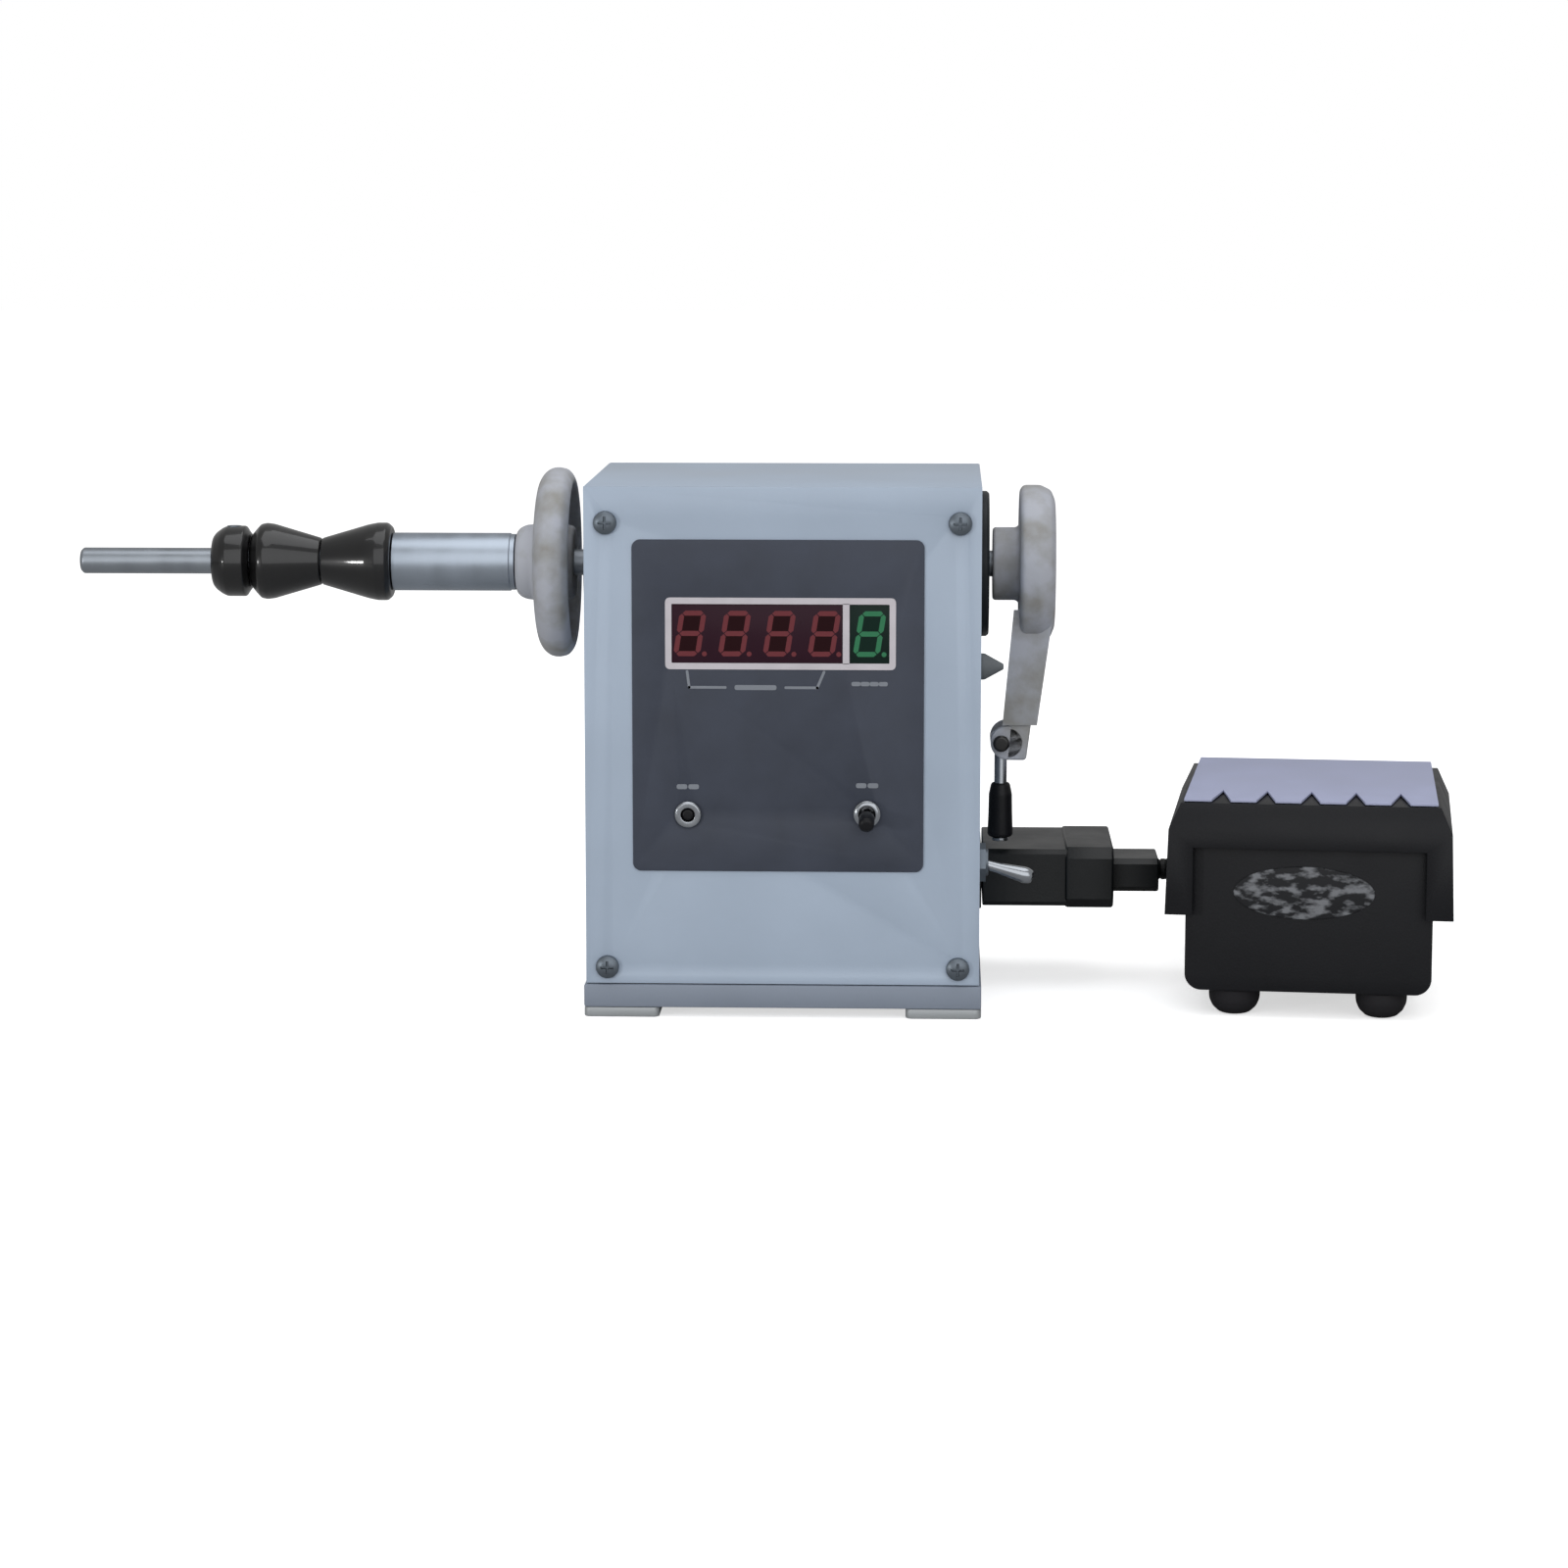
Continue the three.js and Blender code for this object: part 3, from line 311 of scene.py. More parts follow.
def box_mm(node: str) -> tuple[Vector, Vector]:
    """Gives a node's lowest and highest corners in millimetres."""
    low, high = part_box(node)
    return low / MM, high / MM


def length_mm(node: str) -> float:
    """Gives a node's length along X in millimetres."""
    low, high = box_mm(node)
    return high.x - low.x


# ---- finishes ------------------------------------------------------------------------------------


def linear(colour: str) -> tuple[float, float, float, float]:
    """Turns an sRGB hex colour into linear values.

    Args:
        colour: The colour, as a hash and six hex digits.

    Returns:
        Red, green, blue and an opaque alpha.
    """
    channels = [int(colour[i:i + 2], 16) / 255 for i in (1, 3, 5)]
    red, green, blue = (c / 12.92 if c <= 0.04045 else ((c + 0.055) / 1.055) ** 2.4 for c in channels)
    return red, green, blue, 1.0


def add_node(tree: bpy.types.NodeTree, kind: str, settings: dict[str, Any] | None = None,
             inputs: dict[str, Any] | None = None) -> bpy.types.Node:
    """Adds one shader node.

    Args:
        tree: The material's node tree.
        kind: The node's type.
        settings: Its own properties.
        inputs: Its sockets' values, or the sockets that feed them.

    Returns:
        The node.
    """
    node = tree.nodes.new(kind)
    for name, value in (settings or {}).items():
        setattr(node, name, value)
    for name, value in (inputs or {}).items():
        if isinstance(value, bpy.types.NodeSocket):
            tree.links.new(value, node.inputs[name])
        else:
            node.inputs[name].default_value = value
    return node


@dataclass(frozen=True)
class Finish:
    """A surface: its colour, how it shines, and the pattern that its making left on it."""

    label: str
    colour: str
    roughness: float
    metallic: float = 0.0
    coat: float = 0.0
    ior: float = 1.5

    COAT_ROUGHNESS = 0.08
    CLOUD = {"From Min": 0.3, "From Max": 0.7}  # where the noise's values mostly lie

    def material(self) -> bpy.types.Material:
        """Makes the material once and returns it."""
        known = bpy.data.materials.get(self.label)
        if known:
            return known
        material = bpy.data.materials.new(self.label)
        material.use_nodes = True
        shader = material.node_tree.nodes["Principled BSDF"]
        values = {"Base Color": linear(self.colour), "Roughness": self.roughness,
                  "Metallic": self.metallic, "Coat Weight": self.coat,
                  "Coat Roughness": self.COAT_ROUGHNESS, "IOR": self.ior}
        for name, value in values.items():
            shader.inputs[name].default_value = value
        self.pattern(material.node_tree, shader)
        return material

    def pattern(self, tree: bpy.types.NodeTree, shader: bpy.types.Node) -> None:
        """Adds the surface's own grain. A plain finish has a faint cloudiness only."""
        self.mottle(tree, shader, self.grain(tree, 9.0), 0.06)

    def grain(self, tree: bpy.types.NodeTree, size: float, detail: float = 3.0,
              stretch: Place = (1.0, 1.0, 1.0)) -> bpy.types.NodeSocket:
        """Noise with features of a real size.

        Args:
            tree: The material's node tree.
            size: The features' size in millimetres.
            detail: How much finer noise lies on it.
            stretch: How many times finer it is along each axis.

        Returns:
            The noise's value.
        """
        where = add_node(tree, "ShaderNodeTexCoord").outputs["Object"]
        scaled = add_node(tree, "ShaderNodeMapping", inputs={"Vector": where, "Scale": stretch})
        noise = add_node(tree, "ShaderNodeTexNoise",
                         inputs={"Vector": scaled.outputs["Vector"], "Scale": 1 / (size * MM),
                                 "Detail": detail})
        return noise.outputs["Fac"]

    def blended(self, tree: bpy.types.NodeTree, shader: bpy.types.Node, pattern: bpy.types.NodeSocket,
                limits: Point, other: str) -> None:
        """Shows another colour where a pattern is high.

        Args:
            tree: The material's node tree.
            shader: Its shader.
            pattern: The pattern.
            limits: Where the other colour starts and where it is full.
            other: That colour.
        """
        share = add_node(tree, "ShaderNodeMapRange",
                         inputs={"Value": pattern, "From Min": limits[0], "From Max": limits[1]})
        blend = add_node(tree, "ShaderNodeMix", settings={"data_type": "RGBA"},
                         inputs={"Factor": share.outputs["Result"]})
        first, second, result = blend.inputs[6], blend.inputs[7], blend.outputs[2]  # the colour sockets
        first.default_value = linear(self.colour)
        second.default_value = linear(other)
        tree.links.new(result, shader.inputs["Base Color"])

    def relief(self, tree: bpy.types.NodeTree, shader: bpy.types.Node, height: bpy.types.NodeSocket,
               depth: float) -> None:
        """Lets a pattern stand up from the surface, on top of any that already does.

        Args:
            tree: The material's node tree.
            shader: Its shader.
            height: The pattern.
            depth: How high it stands, in millimetres.
        """
        before = shader.inputs["Normal"].links
        inputs = {"Height": height, "Distance": depth * MM, "Strength": 1.0}
        if before:
            inputs["Normal"] = before[0].from_socket
        bump = add_node(tree, "ShaderNodeBump", inputs=inputs)
        tree.links.new(bump.outputs["Normal"], shader.inputs["Normal"])

    def mottle(self, tree: bpy.types.NodeTree, shader: bpy.types.Node, share: bpy.types.NodeSocket,
               amount: float) -> None:
        """Lets a pattern lighten and darken the colour, and dull the shine a little.

        Args:
            tree: The material's node tree.
            shader: Its shader.
            share: The pattern.
            amount: How far the colour goes to either side.
        """
        light = add_node(tree, "ShaderNodeMapRange", inputs={"Value": share, "To Min": 1 - amount,
                                                             "To Max": 1 + amount, **self.CLOUD})
        tone = add_node(tree, "ShaderNodeHueSaturation",
                        inputs={"Value": light.outputs["Result"], "Color": linear(self.colour)})
        dull = add_node(tree, "ShaderNodeMapRange",
                        inputs={"Value": share, "To Min": self.roughness * 0.9,
                                "To Max": min(self.roughness * 1.15, 1.0), **self.CLOUD})
        tree.links.new(tone.outputs["Color"], shader.inputs["Base Color"])
        tree.links.new(dull.outputs["Result"], shader.inputs["Roughness"])


@dataclass(frozen=True)
class Enamel(Finish):
    """Baked enamel on sheet steel: even colour, with the fine ripple that spray leaves."""

    ripple: float = 1.4  # width of the spray's waves as drawn

    def pattern(self, tree: bpy.types.NodeTree, shader: bpy.types.Node) -> None:
        """Adds broad cloudiness and a fine sprayed ripple."""
        self.mottle(tree, shader, self.grain(tree, 38.0, 4.0), 0.045)
        self.relief(tree, shader, self.grain(tree, self.ripple, 2.0), 0.022)


@dataclass(frozen=True)
class MouldedPlastic(Finish):
    """ABS from a spark-eroded mould: a fine even texture that breaks the shine."""

    texture: float = 0.55  # the mould's pits are finer, and are drawn this coarse so that they show
    depth: float = 0.035

    def pattern(self, tree: bpy.types.NodeTree, shader: bpy.types.Node) -> None:
        """Adds the mould's texture, and scuffs in the shine."""
        self.mottle(tree, shader, self.grain(tree, 14.0, 5.0), 0.12)
        self.relief(tree, shader, self.grain(tree, self.texture, 1.0), self.depth)


@dataclass(frozen=True)
class CastMetal(Finish):
    """Grey iron from a sand mould, painted thinly: grains, shallow pits and warmer patches."""

    patch: str = "#93928e"

    def pattern(self, tree: bpy.types.NodeTree, shader: bpy.types.Node) -> None:
        """Adds sand grain, shallow pits and warmer patches."""
        self.blended(tree, shader, self.grain(tree, 11.0, 6.0), (0.42, 0.68), self.patch)
        # The grains of foundry sand are finer. They are drawn at 1.3 mm so that they show.
        self.relief(tree, shader, self.grain(tree, 1.3, 4.0), 0.07)
        self.relief(tree, shader, self.grain(tree, 4.5, 2.0), 0.14)


@dataclass(frozen=True)
class TurnedMetal(Finish):
    """Steel off the lathe: rings too fine to count, drawn a little coarser so that they show."""

    pitch: float = 0.35
    depth: float = 0.006

    def pattern(self, tree: bpy.types.NodeTree, shader: bpy.types.Node) -> None:
        """Adds rings around the X axis, which every turned piece on the spindle shares."""
        rings = self.grain(tree, self.pitch, 2.0, (1.0, 0.01, 0.01))
        self.mottle(tree, shader, self.grain(tree, 7.0, 5.0, (1.0, 0.4, 0.4)), 0.08)
        self.relief(tree, shader, rings, self.depth)


@dataclass(frozen=True)
class TreadSheet(Finish):
    """Filled vinyl sheet: clouded colour under a fine matt grain."""

    def pattern(self, tree: bpy.types.NodeTree, shader: bpy.types.Node) -> None:
        """Adds the clouds and the grain."""
        self.mottle(tree, shader, self.grain(tree, 16.0, 4.0), 0.05)
        self.relief(tree, shader, self.grain(tree, 0.5, 1.0), 0.03)


@dataclass(frozen=True)
class WornInk(Finish):
    """Ink printed on black plastic and half rubbed off: pale crumbs on the bare ground."""

    ink: str = "#77797d"
    crumb: float = 2.4

    def pattern(self, tree: bpy.types.NodeTree, shader: bpy.types.Node) -> None:
        """Leaves the ink in ragged patches."""
        crumbs = self.grain(tree, self.crumb, 5.0, (0.5, 1.0, 1.0))
        self.blended(tree, shader, crumbs, (0.46, 0.62), self.ink)
        self.relief(tree, shader, self.grain(tree, 0.5, 1.0), 0.02)


@dataclass(frozen=True)
class PaintedGlow(Finish):
    """A bar, or the field between bars, of an unlit display digit behind its lens. It carries a faint
    painted glow, though no lamp lights it.
    """

    strength: float = 0.0

    def pattern(self, tree: bpy.types.NodeTree, shader: bpy.types.Node) -> None:
        """Adds a faint painted glow of its own colour."""
        shader.inputs["Emission Color"].default_value = linear(self.colour)
        shader.inputs["Emission Strength"].default_value = self.strength


# Sprayed and baked on sheet steel: a cool grey-blue with a soft satin shine and a faint ripple.
ENAMEL = Enamel("baked_enamel", "#a6b4c5", 0.42, coat=0.1)
# The same enamel on the base, darker in colour and duller in shine.
BASE_ENAMEL = Enamel("base_enamel", "#838c9a", 0.5)
# Plated strip, dulled by handling: a greyer metal edge under the case.
PLATED_STRIP = Enamel("plated_strip", "#a4a8aa", 0.45, metallic=0.3)
# Printed polyester film: flat slate with a fine matt grain that spreads every highlight.
FILM = MouldedPlastic("printed_film", "#3b404c", 0.5, texture=0.4, depth=0.012, ior=1.38)
# Screen-printed ink, rubbed a little: an off-white line with soft wear.
PRINT = Finish("white_print", "#c4bfc4", 0.5)
# The same ink where it is worn through: a line only a little lighter than the film.
FAINT_PRINT = Finish("faint_print", "#7b8088", 0.5)
# Tinted acrylic window: nearly black until a bar glows behind it, with a glassy face.
RED_LENS = Finish("red_acrylic", "#2f1823", 0.3, ior=1.2)
GREEN_LENS = Finish("green_acrylic", "#152520", 0.3, ior=1.2)
# Unlit light bars seen through the tinted window: dull, with hardly any shine of their own, and a faint
# painted glow. The dark fields between the bars carry a fainter painted glow.
RED_BAR = PaintedGlow("red_bar", "#6b3338", 0.4, strength=0.04, ior=1.2)
RED_FIELD = PaintedGlow("red_field", "#210308", 0.4, strength=0.02, ior=1.2)
GREEN_BAR = PaintedGlow("green_bar", "#357552", 0.4, strength=0.04, ior=1.2)
GREEN_FIELD = PaintedGlow("green_field", "#0b241c", 0.4, strength=0.02, ior=1.2)
# ABS from a spark-eroded mould: near black, its fine texture breaking the shine into a soft sheen.
ABS_BLACK = MouldedPlastic("moulded_black", "#0e0f13", 0.42, ior=1.32)
# Harder moulding of the plug: a shade lighter, so its top catches the light.
PLUG_BLACK = MouldedPlastic("plug_black", "#0b0f11", 0.4, ior=1.42)
# Blackened and oiled steel: deep black with a tight highlight along every turned edge.
BLACK_OXIDE = TurnedMetal("black_oxide_steel", "#0d0d0e", 0.32, coat=0.6, ior=1.35)
# Blackened flange that is never polished: a blue-black without a clear highlight.
BEARING_BLACK = TurnedMetal("bearing_black", "#12171c", 0.45, ior=1.35)
# Ground steel rod: darker grey where it mirrors the room, with fine rings around it.
BRIGHT_STEEL = TurnedMetal("ground_steel", "#969ca3", 0.36, metallic=1.0)
# Drawn steel tube, nickel plated: brighter and smoother than the rod.
TUBE_STEEL = TurnedMetal("plated_tube", "#a4adb8", 0.38, metallic=1.0)
# Zinc plate on screws and nuts: a dull bluish metal.
ZINC = TurnedMetal("zinc_plate", "#6b737b", 0.42, metallic=0.9)
# Bright nickel plate on rings, stem and toggle: mirror-like with slight cloudiness.
CHROME = Finish("bright_plate", "#9ea2a7", 0.2, metallic=1.0)
# Grey iron as cast, thinly painted: a light cool grey broken by sand grain and darker patches.
CAST = CastMetal("sand_cast_iron", "#b0b3bb", 0.58)
# Tread sheet of filled vinyl: a pale violet grey, matt.
TREAD = TreadSheet("tread_plate", "#a3a8c3", 0.55)
# Moulded nitrile feet and gland: dead matt brownish black.
RUBBER = MouldedPlastic("moulded_rubber", "#201f22", 0.75, texture=0.8, depth=0.03, ior=1.35)
# Sun-greyed rubber of the side cone: a mid grey without a highlight.
BUMPER_RUBBER = MouldedPlastic("bumper_rubber", "#666b6e", 0.65)
# Silver ink on the pedal's plain oval, rubbed through in patches by shoes.
WORN_INK = WornInk("worn_silver_ink", "#17181b", 0.5, ior=1.35)
# Soft vinyl jacket of the lead: black with a low waxy sheen.
VINYL = MouldedPlastic("vinyl_jacket", "#0c0d0f", 0.48, texture=0.9, depth=0.01, ior=1.35)
# Glass-epoxy board under green lacquer: a glossy dark green.
LAMINATE = Finish("board_laminate", "#1f5a3a", 0.45, coat=0.3)
# Varnished copper winding: warm metal under a clear coat.
WINDING = Finish("wound_copper", "#9a5a2c", 0.35, metallic=0.6)


def place(shape: bmesh.types.BMesh, name: str, finish: Finish, body: str,
          stands_for: Sequence[str] = (), crease: float = 32.0) -> bpy.types.Object:
    """Makes a shape into a dressed piece of the model.

    Args:
        shape: The mesh, in metres and in place. It is freed.
        name: The piece's name.
        finish: Its surface.
        body: The moving body that it rides on.
        stands_for: The nodes that it replaces.
        crease: Edges that bend by more than this many degrees stay sharp.

    Returns:
        The new object.
    """
    for face in shape.faces:
        face.smooth = True
    for line in shape.edges:
        line.smooth = line.calc_face_angle(0.0) < math.radians(crease)
    mesh = bpy.data.meshes.new(name)
    shape.to_mesh(mesh)
    shape.free()
    mesh.materials.append(finish.material())
    piece = bpy.data.objects.new(name, mesh)
    bpy.context.scene.collection.objects.link(piece)
    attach(piece, body)
    if stands_for:
        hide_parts(*stands_for)
    LOG.info("%s on %s", name, body)
    return piece


# ---- studio --------------------------------------------------------------------------------------


@dataclass(frozen=True)
class SoftBox:
    """A rectangular lamp: where it hangs, what it points at, its size, its watts and its colour."""

    name: str
    spot: Place
    target: Place
    width: float
    height: float
    power: float
    colour: Place = (0.97, 0.98, 1.0)

    def hang(self) -> None:
        """Puts the lamp into the scene."""
        data = bpy.data.lights.new(self.name, "AREA")
        data.shape = "RECTANGLE"
        data.size, data.size_y = self.width * MM, self.height * MM
        data.energy, data.color = self.power, self.colour
        lamp = bpy.data.objects.new(self.name, data)
        lamp.location = Vector(self.spot) * MM
        look = Vector(self.target) - Vector(self.spot)
        lamp.rotation_euler = look.to_track_quat("-Z", "Y").to_euler()
        bpy.context.scene.collection.objects.link(lamp)


@dataclass
class Studio:
    """A pale floor, soft lights and the camera.

    The backdrop looks white, but sheds less light than that, so that undersides stay dark.
    """

    eye: Place = (52.0, -1271.0, 254.2)
    aim: Place = (5.5, -45.0, 71.1)
    lens: float = 95.5
    floor_half: float = 6000.0
    floor_tone: float = 0.95
    floor_bounce: float = 0.45
    floor_lift: float = 0.6
    sky_light: float = 0.45

    def build(self) -> None:
        """Builds the whole studio."""
        self.camera()
        self.floor()
        self.lights()
        self.sky()
        bpy.context.scene.view_settings.view_transform = "Standard"

    def camera(self) -> None:
        """Puts the camera in front of the machine, above the bench and a little to the right."""
        data = bpy.data.cameras.new("camera")
        data.lens = self.lens
        data.sensor_width = 36.0
        data.clip_end = 50.0
        camera = bpy.data.objects.new("camera", data)
        camera.location = Vector(self.eye) * MM
        look = Vector(self.aim) - Vector(self.eye)
        camera.rotation_euler = look.to_track_quat("-Z", "Y").to_euler()
        bpy.context.scene.collection.objects.link(camera)
        bpy.context.scene.camera = camera

    def floor(self) -> None:
        """Lays a wide pale floor that looks white and throws only a little light back."""
        shape = bmesh.new()
        bmesh.ops.create_grid(shape, x_segments=1, y_segments=1, size=self.floor_half * MM)
        mesh = bpy.data.meshes.new("floor")
        shape.to_mesh(mesh)
        shape.free()
        paper = bpy.data.materials.new("pale_paper_floor")
        paper.use_nodes = True
        tree = paper.node_tree
        shader = tree.nodes["Principled BSDF"]
        shader.inputs["Roughness"].default_value = 0.95
        shader.inputs["Emission Color"].default_value = (1.0, 1.0, 1.0, 1.0)
        self.seen_directly(tree, shader.inputs["Base Color"], self.floor_tone, self.floor_bounce)
        self.seen_directly(tree, shader.inputs["Emission Strength"], self.floor_lift, 0.0)
        mesh.materials.append(paper)
        ground = bpy.data.objects.new("floor", mesh)
        bpy.context.scene.collection.objects.link(ground)

    @staticmethod
    def seen_directly(tree: bpy.types.NodeTree, socket: bpy.types.NodeSocket, seen: float,
                      unseen: float) -> None:
        """Gives a backdrop one brightness where it is looked at and another for the light it sheds.

        Args:
            tree: The backdrop's node tree.
            socket: What is set.
            seen: Its value for the camera.
            unseen: Its value for everything else.
        """
        path = add_node(tree, "ShaderNodeLightPath")
        share = add_node(tree, "ShaderNodeMapRange", inputs={"Value": path.outputs["Is Camera Ray"],
                                                             "To Min": unseen, "To Max": seen})
        tree.links.new(share.outputs["Result"], socket)

    def lights(self) -> None:
        """Hangs a small key at the front left, a large soft box in front and one overhead."""
        SoftBox("key", (-945, -955, 165), (-130, 5, 132), 110, 110, 2.6, (1.0, 1.0, 1.0)).hang()
        SoftBox("front", (450, -2200, 950), (0, 0, 60), 3000, 2200, 25.0).hang()
        SoftBox("top", (100, -100, 1500), (0, 0, 0), 1600, 1200, 9.0).hang()

    def sky(self) -> None:
        """Surrounds the scene with white that sheds less light than it shows."""
        world = bpy.data.worlds.new("sky")
        world.use_nodes = True
        back = world.node_tree.nodes["Background"]
        back.inputs["Color"].default_value = linear("#ffffff")
        self.seen_directly(world.node_tree, back.inputs["Strength"], 1.0, self.sky_light)
        bpy.context.scene.world = world


# ---- lead of the pedal ---------------------------------------------------------------------------


@dataclass
class PedalLead:
    """The pedal's lead: from its strain relief into a coil behind it, and on to the plug's relief."""

    diameter: float = 5.5
    length: float = 1000.0
    wide: float = 32.75
    narrow: float = 27.25
    turns: float = 4.5
    steps_per_turn: int = 48
    tie_thick: float = 0.9
    tie_wide: float = 7.0

    # Spans, in turns, over which the cord steps in, steps out again and climbs onto a new layer.
    STEP_IN, STEP_OUT = (0.88, 1.0), (2.66, 2.78)
    CLIMBS = ((1.78, 1.9), (3.54, 3.66))
    # Points that the cord passes on its way to the plug and to the pedal.
    PLUG_SIDE = ((128.6, 39.3, 33.9), (129.0, 47.0, 33.0), (130.2, 55.0, 28.8), (132.4, 62.0, 21.8),
                 (134.8, 69.0, 14.0), (137.2, 76.0, 7.6), (139.1, 83.0, 3.9), (140.05, 90.0, 2.85))
    PEDAL_SIDE = ((205.6, 91.0, 13.8), (205.0, 86.0, 14.1), (203.8, 81.0, 14.8), (202.2, 76.0, 15.7),
                  (200.5, 70.9, 16.6), (199.6, 64.0, 17.6), (198.97, 58.0, 18.0))

    def lane(self, turned: float) -> tuple[float, float]:
        """Tells where the cord lies in the coil.

        Args:
            turned: How many turns it has made.

        Returns:
            Its radius and its height.
        """
        inward = self.ramp(turned, *self.STEP_IN) - self.ramp(turned, *self.STEP_OUT)
        layer = sum(self.ramp(turned, *climb) for climb in self.CLIMBS)
        return self.wide - (self.wide - self.narrow) * inward, self.diameter * (0.5 + layer)

    @staticmethod
    def ramp(value: float, start: float, end: float) -> float:
        """Rises smoothly from 0 at start to 1 at end."""
        share = min(max((value - start) / (end - start), 0.0), 1.0)
        return share * share * (3 - 2 * share)

    def coil(self) -> list[Vector]:
        """Winds the turns clockwise about the coil's middle."""
        low, high = box_mm("cord_coil")
        middle = (low + high) / 2
        count = round(self.turns * self.steps_per_turn)
        points = []
        for step in range(count + 1):
            turned = step / self.steps_per_turn
            radius, height = self.lane(turned)
            angle = math.pi - 2 * math.pi * turned
            across, along = radius * math.cos(angle), radius * math.sin(angle)
            points.append(Vector((middle.x + across, middle.y + along, height)))
        return points

    def route(self) -> list[Vector]:
        """Gives the whole centreline, from the pedal to the plug, in millimetres."""
        loose = self.smooth([Vector(p) for p in self.PLUG_SIDE] + self.coil()[:2])[:-1]
        tail = self.smooth(self.coil()[-2:] + [Vector(p) for p in self.PEDAL_SIDE])[1:]
        return list(reversed(loose + self.coil()[1:-1] + tail))

    @staticmethod
    def smooth(points: list[Vector], parts: int = 3) -> list[Vector]:
        """Draws a smooth line through a few points.

        Args:
            points: The points it passes.
            parts: Short lines between two of them.

        Returns:
            The points of the finer line.
        """
        padded = [points[0] * 2 - points[1], *points, points[-1] * 2 - points[-2]]
        line = []
        for before, start, end, after in zip(padded, padded[1:], padded[2:], padded[3:]):
            for part in range(parts):
                t = part / parts
                leave, arrive = (end - before) / 2, (after - start) / 2
                line.append(start * (2 * t**3 - 3 * t**2 + 1) + leave * (t**3 - 2 * t**2 + t)
                            + end * (3 * t**2 - 2 * t**3) + arrive * (t**3 - t**2))
        return [*line, points[-1]]

    def build(self) -> None:
        """Draws the lead as one curve, ties its coil and declares its length."""
        points = self.route()
        data = bpy.data.curves.new("pedal_lead", "CURVE")
        data.dimensions = "3D"
        data.bevel_depth = self.diameter / 2 * MM
        data.bevel_resolution = 4
        data.use_fill_caps = True
        spline = data.splines.new("POLY")
        spline.points.add(len(points) - 1)
        for knot, point in zip(spline.points, points):
            knot.co = (*(point * MM), 1.0)
        data.materials.append(VINYL.material())
        lead = bpy.data.objects.new("pedal_lead", data)
        bpy.context.scene.collection.objects.link(lead)
        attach(lead, "root")
        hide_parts("cord_plug_side", "cord_coil", "cord_pedal_side")
        length = sum((b - a).length for a, b in zip(points, points[1:]))
        LOG.info("the lead's centreline is %.0f mm long", length)
        self.tie()

    def tie(self) -> None:
        """Binds the coil with a flat band at its rear."""
        low, high = box_mm("cord_coil")
        middle = (low + high) / 2
        thick, wide = self.tie_thick, self.tie_wide
        near, far = middle.y + self.narrow - self.diameter / 2 - 0.6, high.y - 0.1
        base, top = 0.2, high.z - 0.1
        outer = rounded_loop(rectangle(near, far, base, top), 3.4, 6)
        inner = rounded_loop(rectangle(near + thick, far - thick, base + thick, top - thick), 3.0, 6)
        band = frame_ring(outer, inner, wide, Axis.X, (middle.x - wide / 2, 0, 0))
        place(band, "lead_tie", RUBBER, "root")


# ---- case ----------------------------------------------------------------------------------------


